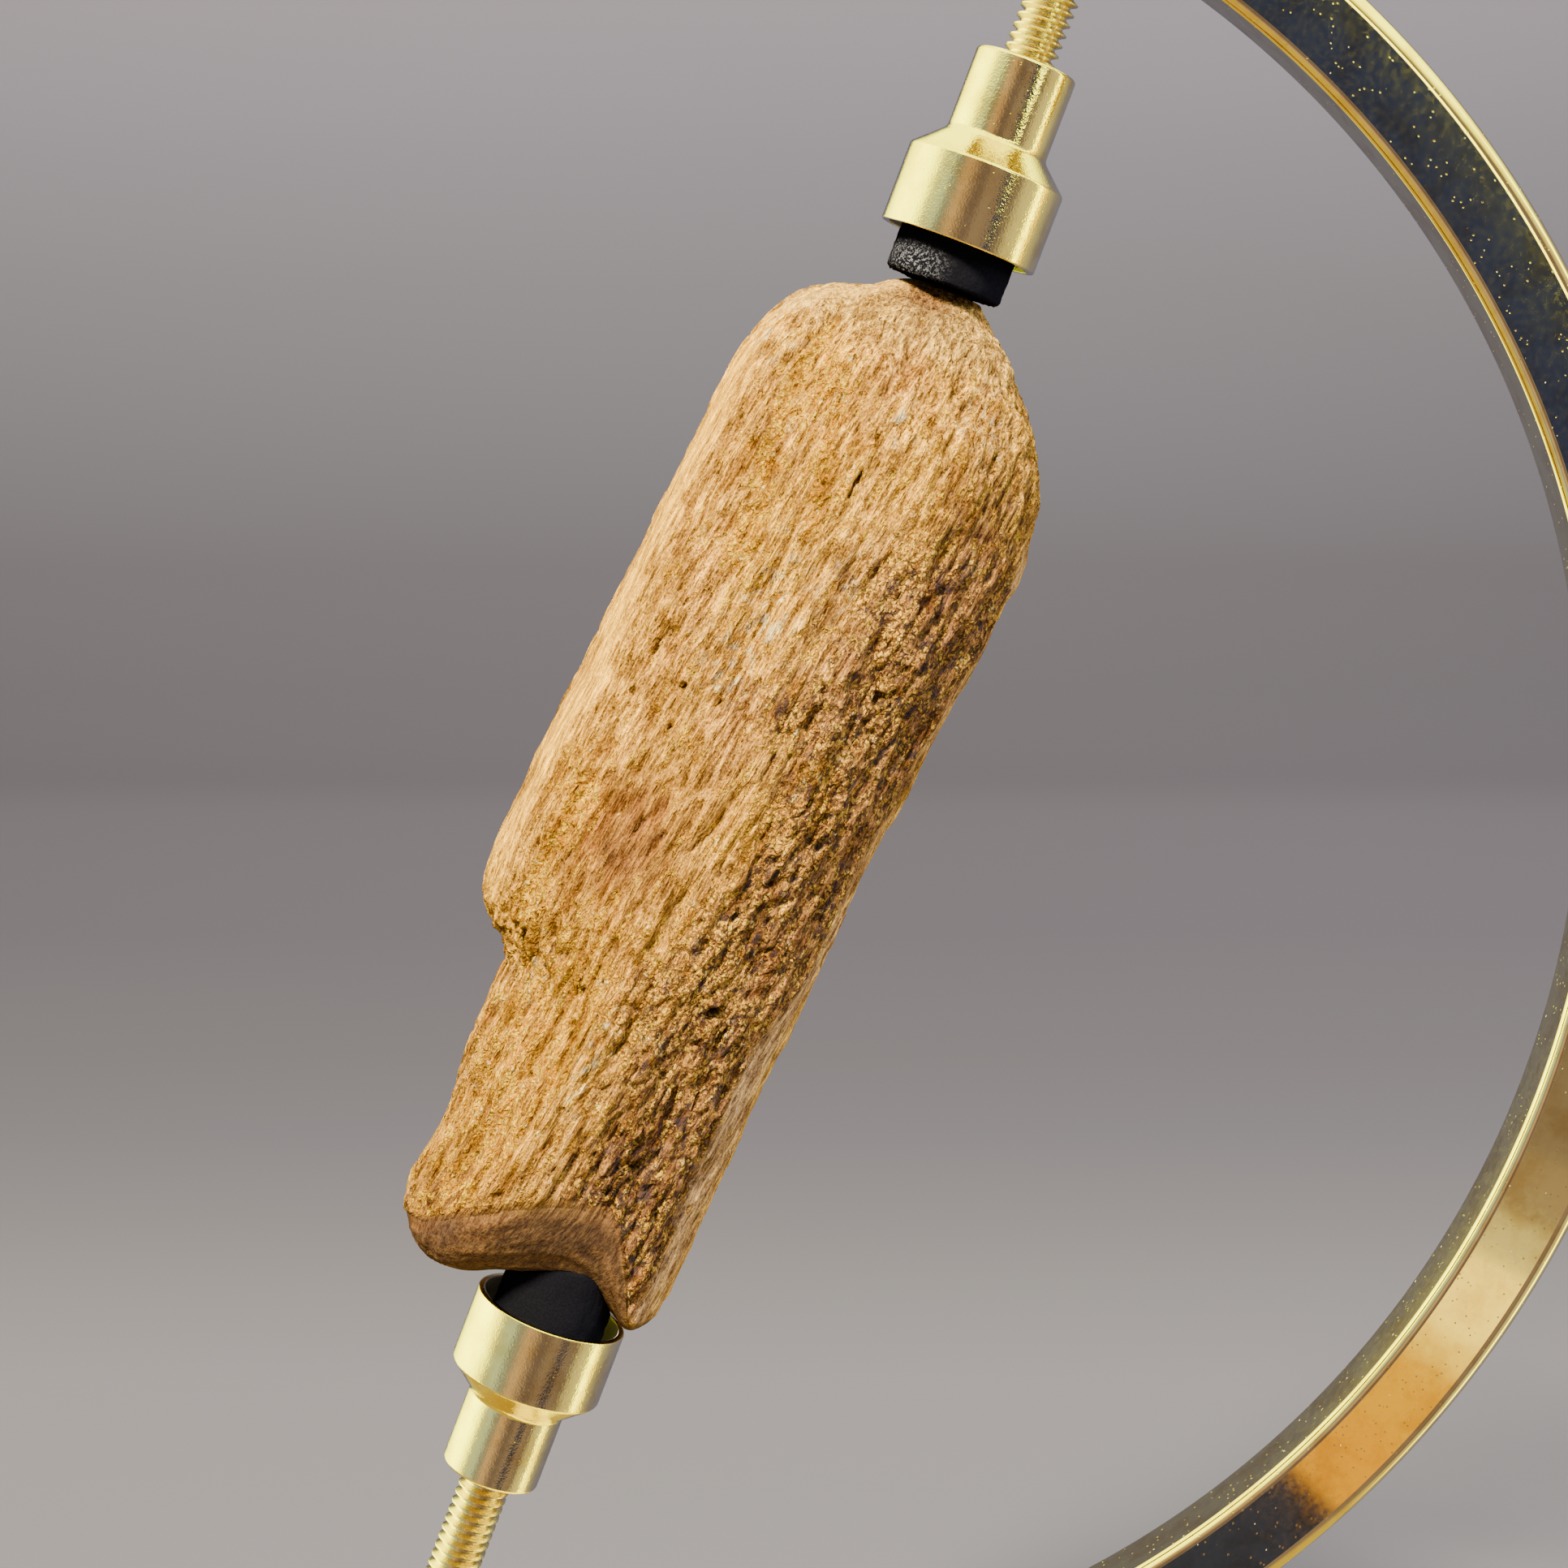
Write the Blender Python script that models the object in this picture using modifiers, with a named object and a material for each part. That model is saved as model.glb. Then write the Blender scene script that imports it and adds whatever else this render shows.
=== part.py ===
"""Fossil limb bone fragment held between two padded screws in a leaning brass half-ring stand.

All dimensions below are millimetres; MM turns them into metres.
The clamp axis leans from the vertical in the XZ plane.  Points on the clamp are given by
u (across, to the right), v (depth, away from the front) and s (up along the axis), with
s = 0 at the foot of the perpendicular from the arm's centre.
"""

import math

import bmesh
import bpy
from mathutils import Vector, noise

MM = 0.001
GAP = 0.3                      # clearance between neighbouring solids

# ---- stand ----
LEAN = math.radians(20.8)      # clamp axis from the vertical, towards +X at the top
ARM_CENTRE_HEIGHT = 122.0
ARM_INNER_RADIUS = 73.7
ARM_THICKNESS = 7.0            # along the radius
ARM_DEPTH = 5.9                # front to back
ARM_INNER_EDGE = 0.8           # corner radii
ARM_OUTER_EDGE = 1.4
ARM_STEPS = 64
CLAMP_OFFSET = 7.75            # clamp axis from the arm's centre, towards the arm
BASE_RADIUS = 48.0
BASE_HEIGHT = 9.0
BASE_SHOULDER = 1.6
STEM_FOOT_RADIUS = 9.0
STEM_RADIUS = 4.75
STEM_HEAD_RADIUS = 6.0

# ---- clamp screws, both alike, measured from the cup's rim outwards ----
UPPER_RIM = 47.5
LOWER_RIM = -41.5
CUP_RADIUS = 6.15
CUP_WALL = 0.55
CUP_HEIGHT = 6.1
CUP_CAVITY = 5.2
CUP_CONE = 2.0
NECK_RADIUS = 3.95
CUP_LENGTH = 14.5
SCREW_RADIUS = 2.06            # number 8 rod, 32 threads to the inch
SCREW_LENGTH = 44.0
SOCKET_DEPTH = 5.0             # of the rod in the neck and in the knob
KNOB_RADIUS = 5.0
KNOB_LENGTH = 6.5
PAD_RADIUS = 4.6
UPPER_PAD_STANDS = 2.95        # out of its cup
ROUND_STEPS = 32

# ---- bone outline: (s, edge) down the two long sides ----
LEFT_EDGE = (
    (44.0, -2.6), (43.4, -3.9), (42.7, -5.0), (41.6, -7.8), (40.4, -9.8), (38.5, -11.3), (36.1, -12.3),
    (32.4, -12.9), (28.7, -13.3), (22.5, -14.1), (13.2, -15.1), (3.7, -16.1), (-5.8, -16.95),
    (-9.0, -17.1), (-11.0, -16.9), (-12.2, -16.45), (-13.6, -15.4), (-14.9, -14.05), (-15.6, -13.4),
    (-17.0, -13.2), (-22.0, -13.5), (-25.3, -13.55), (-28.6, -13.3), (-31.9, -13.55), (-34.5, -14.15),
    (-37.1, -13.9), (-38.8, -13.2), (-40.2, -12.4),
)
RIGHT_EDGE = (
    (44.0, 3.2), (42.7, 4.6), (41.0, 6.35), (38.6, 8.6), (36.1, 10.5), (33.7, 12.1), (31.2, 12.95),
    (28.7, 13.2), (26.6, 13.65), (25.2, 13.65), (23.6, 13.25), (19.4, 13.0), (10.0, 11.75), (0.4, 10.6),
    (-9.3, 10.25), (-16.0, 9.65), (-25.6, 8.95), (-33.5, 8.55), (-38.5, 8.1), (-40.2, 7.7),
)
# crest of the front face: its place across and its height, and the height of the back
CREST = (
    (44.0, 0.3), (38.0, 1.0), (28.0, 1.6), (10.0, 0.0), (-5.0, -2.2), (-14.0, -3.6), (-30.0, -6.4),
    (-40.0, -7.6),
)
FRONT_HEIGHT = (
    (44.0, 2.0), (42.8, 3.5), (41.4, 4.9), (39.5, 6.2), (36.0, 7.5), (30.0, 8.4), (5.0, 9.1),
    (-15.0, 9.0), (-40.0, 8.5),
)
BACK_HEIGHT = (
    (44.0, 2.0), (42.6, 3.6), (41.0, 5.1), (38.0, 6.7), (32.0, 7.9), (18.0, 8.5), (-10.0, 8.2),
    (-40.0, 7.5),
)
# how square the section is on each side of the crest: 2 is an ellipse, less is a flat facet
LEFT_SQUARENESS = ((44.0, 2.0), (30.0, 2.5), (5.0, 2.3), (-12.0, 1.75), (-30.0, 1.5), (-40.0, 1.5))
RIGHT_SQUARENESS = ((44.0, 2.0), (30.0, 2.0), (5.0, 1.9), (-15.0, 1.75), (-40.0, 1.7))
BACK_SQUARENESS = 2.25
# lower end: (u, s) of the scooped front rim and of the lowest edge behind it
SCOOP_RIM = (
    (-13.6, -38.4), (-12.4, -37.4), (-9.3, -34.4), (-6.1, -32.4), (-2.4, -30.9), (0.4, -30.7),
    (2.1, -31.4), (3.4, -33.7), (4.7, -36.6), (6.0, -39.8), (8.4, -38.8),
)
LOWER_EDGE = (
    (-13.8, -38.0), (-12.8, -40.0), (-11.7, -41.0), (-10.3, -41.45), (-8.0, -40.9), (-4.7, -39.7),
    (-0.8, -39.0), (2.0, -39.5), (4.3, -40.7), (6.2, -41.45), (7.4, -40.8), (8.4, -39.0),
)
SCOOP_DEPTH = 2.4              # how fast the scoop falls behind its rim
RIM_ROUNDING = 0.55
# the outer layer ends in a low step that climbs to the right across the front
LAYER_STEP = 0.5
LAYER_EDGE = ((-18.0, -14.2), (-14.0, -13.6), (-10.0, -10.5), (-6.0, -5.5), (-3.0, -2.0))
# long hollows and swellings: (u, s, half width, half length, height)
SWELLINGS = (
    (-7.0, 33.0, 2.2, 7.5, -0.7),
    (-13.0, 30.0, 2.5, 12.0, 0.35),
    (-2.2, 30.0, 1.8, 8.0, 0.45),
    (3.9, 37.0, 1.6, 2.4, -0.4),
    (6.5, 33.0, 3.0, 5.0, 0.5),
    (0.5, 14.0, 2.6, 11.0, 0.45),
    (-5.5, 6.0, 2.0, 9.0, -0.45),
    (7.0, 12.0, 3.0, 10.0, -0.4),
    (4.0, -9.0, 3.5, 8.0, -0.55),
    (-9.0, -22.0, 2.0, 9.0, -0.45),
    (2.5, -24.0, 3.5, 9.0, -0.5),
    (6.0, 41.0, 2.2, 1.6, 0.5),
    (-5.8, 41.0, 1.6, 1.4, -0.5),
)
# open vessel holes on the front: (u, s, radius across, radius along)
VESSEL_HOLES = (
    (3.6, -13.7, 1.0, 1.2),
    (2.6, -27.8, 0.9, 1.1),
    (5.9, 12.9, 0.8, 0.9),
    (6.0, 1.2, 0.6, 1.0),
    (7.0, -21.5, 0.6, 1.1),
    (-7.6, 8.6, 0.6, 0.7),
    (-5.0, 8.4, 0.5, 0.6),
    (-7.4, 5.5, 0.5, 0.7),
    (-10.8, 10.4, 0.4, 1.7),
    (-2.2, 27.4, 0.4, 2.2),
)
HOLE_DEPTH = 1.5
SIDES = 32
RINGS = 50
END_RINGS = (0.93, 0.8, 0.62, 0.43, 0.22)

# ---- finishes: colour, roughness, metallic ----
FINISHES = {
    "brass": ((0.80, 0.66, 0.36), 0.22, 1.0),
    "fossil": ((0.56, 0.40, 0.22), 0.85, 0.0),
    "foam": ((0.02, 0.02, 0.025), 0.95, 0.0),
    "cutter": ((0.5, 0.5, 0.5), 0.5, 0.0),
}


def clear_scene():
    """Remove whatever the scene holds."""
    for item in list(bpy.data.objects):
        bpy.data.objects.remove(item, do_unlink=True)


def make_collection(name):
    """Return a new collection linked to the scene."""
    group = bpy.data.collections.new(name)
    bpy.context.scene.collection.children.link(group)
    return group


def make_material(piece, finish):
    """Return a piece's own Principled material in one of the finishes."""
    colour, roughness, metallic = FINISHES[finish]
    material = bpy.data.materials.new(f"{piece}_{finish}")
    material.use_nodes = True
    shader = material.node_tree.nodes["Principled BSDF"]
    shader.inputs["Base Color"].default_value = (*colour, 1.0)
    shader.inputs["Roughness"].default_value = roughness
    shader.inputs["Metallic"].default_value = metallic
    return material


def make_empty(name, group, parent=None, location=(0.0, 0.0, 0.0), rotation=(0.0, 0.0, 0.0)):
    """Return an empty that carries other pieces; location is in millimetres."""
    empty = bpy.data.objects.new(name, None)
    group.objects.link(empty)
    empty.parent = parent
    empty.location = Vector(location) * MM
    empty.rotation_euler = rotation
    return empty


def make_object(name, bm, group, finish, parent=None, location=(0.0, 0.0, 0.0)):
    """Turn a bmesh in millimetres into an object in metres."""
    bmesh.ops.scale(bm, vec=(MM, MM, MM), verts=bm.verts)
    mesh = bpy.data.meshes.new(name)
    bm.to_mesh(mesh)
    bm.free()
    mesh.materials.append(make_material(name, finish))
    piece = bpy.data.objects.new(name, mesh)
    group.objects.link(piece)
    piece.parent = parent
    piece.location = Vector(location) * MM
    return piece


def shade_round(piece):
    """Shade a round piece smooth, with its real edges sharp."""
    piece.data.shade_smooth()
    piece.data.set_sharp_from_angle(angle=math.radians(35.0))


def make_turned(name, profile, group, finish, parent=None):
    """Return a turned piece from a profile that runs down its outer side."""
    bm = bmesh.new()
    points = [bm.verts.new((radius, 0.0, height)) for radius, height in profile]
    for upper, lower in zip(points, points[1:]):
        bm.edges.new((upper, lower))
    piece = make_object(name, bm, group, finish, parent)
    screw = piece.modifiers.new("Turn", "SCREW")
    screw.axis = "Z"
    screw.steps = ROUND_STEPS
    screw.render_steps = ROUND_STEPS
    screw.use_merge_vertices = True
    screw.merge_threshold = 0.01 * MM
    screw.use_smooth_shade = True
    return piece


def cut_with(piece, cutter, name):
    """Cut one piece by a cutter that stays hidden."""
    cutter.hide_render = True
    cutter.display_type = "WIRE"
    modifier = piece.modifiers.new(name, "BOOLEAN")
    modifier.operation = "DIFFERENCE"
    modifier.solver = "EXACT"
    modifier.object = cutter


def smooth_curve(points, place):
    """Read a smooth curve through points sorted by their first number, in either order."""
    ordered = sorted(points)
    if place <= ordered[0][0]:
        return ordered[0][1]
    if place >= ordered[-1][0]:
        return ordered[-1][1]
    index = next(i for i in range(len(ordered) - 1) if ordered[i + 1][0] >= place)
    x0, y0 = ordered[index]
    x1, y1 = ordered[index + 1]
    before = ordered[max(index - 1, 0)]
    after = ordered[min(index + 2, len(ordered) - 1)]
    slope0 = (y1 - before[1]) / (x1 - before[0])
    slope1 = (after[1] - y0) / (after[0] - x0)
    t = (place - x0) / (x1 - x0)
    span = x1 - x0
    return (
        (2 * t**3 - 3 * t**2 + 1) * y0
        + (t**3 - 2 * t**2 + t) * span * slope0
        + (3 * t**2 - 2 * t**3) * y1
        + (t**3 - t**2) * span * slope1
    )


# ---------------------------------------------------------------- bone


def section_point(angle, s):
    """Return (u, v) on the bone's section at height s; angle 0 is the right edge, 90 degrees the front."""
    crest = smooth_curve(CREST, s)
    across = math.cos(angle)
    ahead = math.sin(angle)
    if across < 0.0:
        reach = crest - smooth_curve(LEFT_EDGE, s)
        squareness = smooth_curve(LEFT_SQUARENESS, s)
    else:
        reach = smooth_curve(RIGHT_EDGE, s) - crest
        squareness = smooth_curve(RIGHT_SQUARENESS, s)
    height = smooth_curve(FRONT_HEIGHT, s)
    if ahead < 0.0:
        height = smooth_curve(BACK_HEIGHT, s)
        squareness = BACK_SQUARENESS
    power = 2.0 / squareness
    u = crest + math.copysign(reach * abs(across) ** power, across)
    v = -math.copysign(height * abs(ahead) ** power, ahead)
    return u, v


def front_surface(u, s):
    """Return v of the smooth front surface at (u, s)."""
    crest = smooth_curve(CREST, s)
    if u < crest:
        reach = crest - smooth_curve(LEFT_EDGE, s)
        squareness = smooth_curve(LEFT_SQUARENESS, s)
    else:
        reach = smooth_curve(RIGHT_EDGE, s) - crest
        squareness = smooth_curve(RIGHT_SQUARENESS, s)
    share = min(abs(u - crest) / reach, 1.0)
    return -smooth_curve(FRONT_HEIGHT, s) * (1.0 - share**squareness) ** (1.0 / squareness)


def lower_end(u, v):
    """Return s of the broken lower end: an arched edge with a scoop rising to the front rim."""
    edge = smooth_curve(LOWER_EDGE, u)
    rim = smooth_curve(SCOOP_RIM, u)
    behind_rim = max(v - front_surface(u, rim), 0.0)
    return edge + (rim - edge) * math.exp(-behind_rim / SCOOP_DEPTH)


def relief(u, v, s):
    """Return how far the surface stands out of the smooth section at a point."""
    front = min(max(-v / 4.0, 0.0), 1.0)
    height = 0.0
    for centre_u, centre_s, width, length, size in SWELLINGS:
        distance = ((u - centre_u) / width) ** 2 + ((s - centre_s) / length) ** 2
        height += size * math.exp(-distance) * front
    step_line = smooth_curve(LAYER_EDGE, u)
    below_step = 1.0 / (1.0 + math.exp((s - step_line) / 0.5))
    fade = min(max((-2.0 - u) / 5.0, 0.0), 1.0) * min(max((s + 34.0) / 14.0, 0.0), 1.0)
    height -= LAYER_STEP * below_step * fade * front
    lumps = noise.noise(Vector((u / 6.0, v / 6.0, s / 11.0)))
    grain = noise.noise(Vector((u / 2.6 + 7.3, v / 2.6, s / 12.0)))
    height += (0.35 * lumps + 0.3 * grain) * (0.25 + 0.75 * min(abs(v) / 4.0, 1.0))
    taper = min(max((44.5 - s) / 5.0, 0.0), 1.0)
    return height * taper


def bone_ring(share):
    """Return the points of one ring, from the top (share 0) to the lower rim (share 1)."""
    top = 44.0
    turn = -26.0
    ring = []
    for step in range(SIDES):
        angle = 2.0 * math.pi * step / SIDES
        if share < 0.78:
            eased = (share / 0.78) ** 1.25
            s = top + (turn - top) * eased
        else:
            s = turn
            for _ in range(4):
                u, v = section_point(angle, s)
                end = lower_end(u, v) + RIM_ROUNDING
                s = turn + (end - turn) * (share - 0.78) / 0.22
        u, v = section_point(angle, s)
        outward = Vector((u - smooth_curve(CREST, s) * 0.5, v * 1.4, 0.0)).normalized()
        ring.append(Vector((u, v, s)) + outward * relief(u, v, s))
    return ring


def make_bone(group, cutters, parent):
    """Return the fossil: one closed loft with a scooped lower end, cut by its vessel holes."""
    bm = bmesh.new()
    rings = []
    for index in range(RINGS + 1):
        rings.append([bm.verts.new(point) for point in bone_ring(index / RINGS)])
    last = [vert.co.copy() for vert in rings[-1]]
    middle = sum(last, Vector()) / SIDES
    for scale in END_RINGS:
        ring = []
        for point in last:
            u = middle.x + (point.x - middle.x) * scale
            v = middle.y + (point.y - middle.y) * scale
            ring.append(bm.verts.new((u, v, lower_end(u, v))))
        rings.append(ring)
    top_centre = bm.verts.new((0.3, 0.0, 44.25))
    end_centre = bm.verts.new((middle.x, middle.y, lower_end(middle.x, middle.y)))
    for upper, lower in zip(rings, rings[1:]):
        for step in range(SIDES):
            after = (step + 1) % SIDES
            bm.faces.new((upper[step], upper[after], lower[after], lower[step]))
    for step in range(SIDES):
        after = (step + 1) % SIDES
        bm.faces.new((top_centre, rings[0][after], rings[0][step]))
        bm.faces.new((end_centre, rings[-1][step], rings[-1][after]))
    bmesh.ops.recalc_face_normals(bm, faces=bm.faces)
    bone = make_object("bone", bm, group, "fossil", parent)
    bone.data.shade_smooth()

    holes = bmesh.new()
    for u, s, across, along in VESSEL_HOLES:
        made = bmesh.ops.create_icosphere(holes, subdivisions=2, radius=1.0)["verts"]
        bmesh.ops.scale(holes, vec=(across, HOLE_DEPTH, along), verts=made)
        bmesh.ops.translate(holes, vec=(u, front_surface(u, s), s), verts=made)
    cut_with(bone, make_object("vessel_hole_cutter", holes, cutters, "cutter", parent), "Vessel holes")
    return bone


# ---------------------------------------------------------------- clamp screws


def make_cup(name, group, parent):
    """Return a cup that opens upwards at its rim, with a cone and a neck below."""
    inner = CUP_RADIUS - CUP_WALL
    socket = SCREW_RADIUS + GAP
    edge = 0.25
    profile = (
        (0.0, -CUP_CAVITY),
        (inner, -CUP_CAVITY),
        (inner, 0.0),
        (CUP_RADIUS, 0.0),
        (CUP_RADIUS, -CUP_HEIGHT),
        (NECK_RADIUS, -CUP_HEIGHT - CUP_CONE),
        (NECK_RADIUS, -CUP_LENGTH + edge),
        (NECK_RADIUS - edge, -CUP_LENGTH),
        (socket, -CUP_LENGTH),
        (socket, -CUP_LENGTH + SOCKET_DEPTH),
        (0.0, -CUP_LENGTH + SOCKET_DEPTH),
    )
    return make_turned(name, profile, group, "brass", parent)


def make_rod(name, group, parent):
    """Return the plain core of a threaded rod, from inside the neck to inside the knob."""
    bm = bmesh.new()
    bmesh.ops.create_cone(
        bm, cap_ends=True, segments=24, radius1=SCREW_RADIUS, radius2=SCREW_RADIUS, depth=SCREW_LENGTH
    )
    start = CUP_LENGTH - SOCKET_DEPTH + GAP
    bmesh.ops.translate(bm, vec=(0.0, 0.0, -start - SCREW_LENGTH / 2.0), verts=bm.verts)
    rod = make_object(name, bm, group, "brass", parent)
    shade_round(rod)
    return rod


def make_knob(name, group, parent):
    """Return a plain thumb knob that covers the rod's outer end."""
    rod_end = -(CUP_LENGTH - SOCKET_DEPTH + GAP + SCREW_LENGTH)
    socket_floor = rod_end - GAP
    upper = socket_floor + SOCKET_DEPTH
    lower = upper - KNOB_LENGTH
    socket = SCREW_RADIUS + GAP
    edge = 0.7
    profile = (
        (0.0, socket_floor),
        (socket, socket_floor),
        (socket, upper),
        (KNOB_RADIUS - edge, upper),
        (KNOB_RADIUS, upper - edge),
        (KNOB_RADIUS, lower + edge),
        (KNOB_RADIUS - edge, lower),
        (0.0, lower),
    )
    return make_turned(name, profile, group, "brass", parent)


def make_upper_pad(group, parent):
    """Return the upper foam pad, flat on the bone's knob."""
    bm = bmesh.new()
    depth = UPPER_PAD_STANDS + CUP_CAVITY - GAP
    bmesh.ops.create_cone(
        bm, cap_ends=True, segments=ROUND_STEPS, radius1=PAD_RADIUS, radius2=PAD_RADIUS, depth=depth
    )
    bmesh.ops.translate(bm, vec=(0.0, 0.0, UPPER_PAD_STANDS - depth / 2.0), verts=bm.verts)
    pad = make_object("upper_pad", bm, group, "foam", parent)
    shade_round(pad)
    return pad


def make_lower_pad(group, parent):
    """Return the lower foam pad, its top pressed to the bone's arched end."""
    bm = bmesh.new()
    floor = -CUP_CAVITY + GAP
    made = bmesh.ops.create_circle(bm, cap_ends=True, segments=ROUND_STEPS, radius=PAD_RADIUS)["verts"]
    bmesh.ops.translate(bm, vec=(0.0, 0.0, floor), verts=made)
    grown = bmesh.ops.extrude_face_region(bm, geom=list(bm.faces))["geom"]
    crown = [item for item in grown if isinstance(item, bmesh.types.BMFace)]
    for _ in range(3):
        bmesh.ops.inset_region(bm, faces=crown, thickness=1.2, depth=0.0, use_even_offset=True)
    for vert in set(bm.verts) - set(made):
        vert.co.z = lower_end(vert.co.x, vert.co.y) - LOWER_RIM - GAP
    bmesh.ops.recalc_face_normals(bm, faces=bm.faces)
    pad = make_object("lower_pad", bm, group, "foam", parent)
    shade_round(pad)
    return pad


# ---------------------------------------------------------------- stand


def arm_section():
    """Return the arm's section as (depth, radius) points, its corners rounded in two or three flats."""
    half = ARM_DEPTH / 2.0
    outer = ARM_INNER_RADIUS + ARM_THICKNESS
    corners = (
        (-half, ARM_INNER_RADIUS, ARM_INNER_EDGE, 180.0, 2),
        (half, ARM_INNER_RADIUS, ARM_INNER_EDGE, 270.0, 2),
        (half, outer, ARM_OUTER_EDGE, 0.0, 3),
        (-half, outer, ARM_OUTER_EDGE, 90.0, 3),
    )
    points = []
    for depth, radius, rounding, start, count in corners:
        middle_depth = depth - math.copysign(rounding, depth)
        middle_radius = radius + rounding if radius == ARM_INNER_RADIUS else radius - rounding
        for step in range(count):
            angle = math.radians(start + 90.0 * step / (count - 1))
            across = rounding * math.cos(angle)
            outwards = rounding * math.sin(angle)
            points.append((middle_depth + across, middle_radius + outwards))
    return points


def make_arm(group, cutters, parent):
    """Return the half-ring arm: a bar spun round the arm's centre, with a hole near each end."""
    bm = bmesh.new()
    bm.faces.new([bm.verts.new((0.0, depth, radius)) for depth, radius in arm_section()])
    section = list(bm.verts) + list(bm.edges) + list(bm.faces)
    bmesh.ops.spin(
        bm, geom=section, cent=(0.0, 0.0, 0.0), axis=(0.0, 1.0, 0.0), angle=math.pi, steps=ARM_STEPS
    )
    bmesh.ops.recalc_face_normals(bm, faces=bm.faces)
    arm = make_object("arm", bm, group, "brass", parent, location=(-CLAMP_OFFSET, 0.0, 0.0))

    holes = bmesh.new()
    hole = SCREW_RADIUS + GAP
    for side in (1.0, -1.0):
        made = bmesh.ops.create_cone(
            holes, cap_ends=True, segments=24, radius1=hole, radius2=hole, depth=20.0
        )["verts"]
        bmesh.ops.translate(holes, vec=(0.0, 0.0, side * ARM_INNER_RADIUS), verts=made)
    cut_with(arm, make_object("arm_hole_cutter", holes, cutters, "cutter", parent), "Screw holes")
    shade_round(arm)
    return arm


def make_base(group):
    """Return the round foot, standing on its flat underside."""
    profile = (
        (0.0, BASE_HEIGHT),
        (BASE_RADIUS - 2.5 * BASE_SHOULDER, BASE_HEIGHT),
        (BASE_RADIUS - 0.7 * BASE_SHOULDER, BASE_HEIGHT - 0.7 * BASE_SHOULDER),
        (BASE_RADIUS, BASE_HEIGHT - 2.0 * BASE_SHOULDER),
        (BASE_RADIUS, 0.5),
        (BASE_RADIUS - 0.5, 0.0),
        (0.0, 0.0),
    )
    return make_turned("base", profile, group, "brass")


def make_stem(group):
    """Return the turned post from the foot to the arm's lowest point."""
    low = BASE_HEIGHT + GAP
    high = ARM_CENTRE_HEIGHT - ARM_INNER_RADIUS - ARM_THICKNESS - GAP
    profile = (
        (0.0, high),
        (STEM_HEAD_RADIUS - 0.4, high),
        (STEM_HEAD_RADIUS, high - 0.4),
        (STEM_HEAD_RADIUS, high - 3.2),
        (STEM_RADIUS, high - 4.4),
        (STEM_RADIUS, low + 4.6),
        (STEM_RADIUS + 1.2, low + 2.9),
        (STEM_FOOT_RADIUS, low + 1.6),
        (STEM_FOOT_RADIUS, low),
        (0.0, low),
    )
    return make_turned("stem", profile, group, "brass")


def main():
    """Build the whole object."""
    clear_scene()
    pieces = make_collection("fossil_bone_on_stand")
    cutters = make_collection("cutters")
    foot = Vector((CLAMP_OFFSET * math.cos(LEAN), 0.0, ARM_CENTRE_HEIGHT - CLAMP_OFFSET * math.sin(LEAN)))
    axis = make_empty("clamp_axis", pieces, location=foot, rotation=(0.0, LEAN, 0.0))
    upper = make_empty("upper_rim", pieces, axis, (0.0, 0.0, UPPER_RIM), (math.pi, 0.0, 0.0))
    lower = make_empty("lower_rim", pieces, axis, (0.0, 0.0, LOWER_RIM))

    make_base(pieces)
    make_stem(pieces)
    make_arm(pieces, cutters, axis)
    for side, rim in (("upper", upper), ("lower", lower)):
        make_cup(f"{side}_cup", pieces, rim)
        make_rod(f"{side}_rod", pieces, rim)
        make_knob(f"{side}_knob", pieces, rim)
    make_upper_pad(pieces, upper)
    make_lower_pad(pieces, lower)
    make_bone(pieces, cutters, axis)


main()
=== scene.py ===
"""Fossil limb bone fragment gripped between two padded brass screws in a leaning half-ring stand.

Sizes are millimetres unless a name says otherwise; each piece is moved into the row frame, in metres,
when it is settled.  Points on the clamp are given by u (across, to the right), v (depth, away from the
front) and s (up along the clamp axis).
"""

import logging
import math
from dataclasses import dataclass
from enum import Enum
from functools import cached_property

import bmesh
import bpy
from mathutils import Matrix, Vector, noise


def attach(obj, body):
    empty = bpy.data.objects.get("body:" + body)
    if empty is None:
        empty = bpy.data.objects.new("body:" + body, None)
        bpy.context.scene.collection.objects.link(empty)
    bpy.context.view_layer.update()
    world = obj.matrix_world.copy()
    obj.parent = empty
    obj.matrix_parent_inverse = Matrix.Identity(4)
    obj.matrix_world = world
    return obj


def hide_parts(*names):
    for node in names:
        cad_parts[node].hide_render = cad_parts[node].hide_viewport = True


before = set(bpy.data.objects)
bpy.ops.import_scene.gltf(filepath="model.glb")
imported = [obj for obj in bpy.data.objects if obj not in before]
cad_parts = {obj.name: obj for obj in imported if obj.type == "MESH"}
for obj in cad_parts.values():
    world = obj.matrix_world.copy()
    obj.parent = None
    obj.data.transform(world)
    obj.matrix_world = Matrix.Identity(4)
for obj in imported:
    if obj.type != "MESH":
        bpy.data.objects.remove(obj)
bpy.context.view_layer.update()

log = logging.getLogger("fossil_stand")

MM = 0.001
MERGE_DISTANCE = 1e-4
FULL_TURN = 2.0 * math.pi
LEAN = math.radians(20.8)
GRAIN_TURN = math.radians(9.0)
ARM_CENTRE_HEIGHT = 122.0
CLAMP_OFFSET = 7.75
UPPER_RIM = 47.5
LOWER_RIM = -41.5

Colour = tuple[float, float, float]
Place = tuple[float, float, float]
Pair = tuple[float, float]
Stops = tuple[tuple[float, Colour], ...]
Socket = bpy.types.NodeSocket


# ---------------------------------------------------------------- small tools


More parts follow.
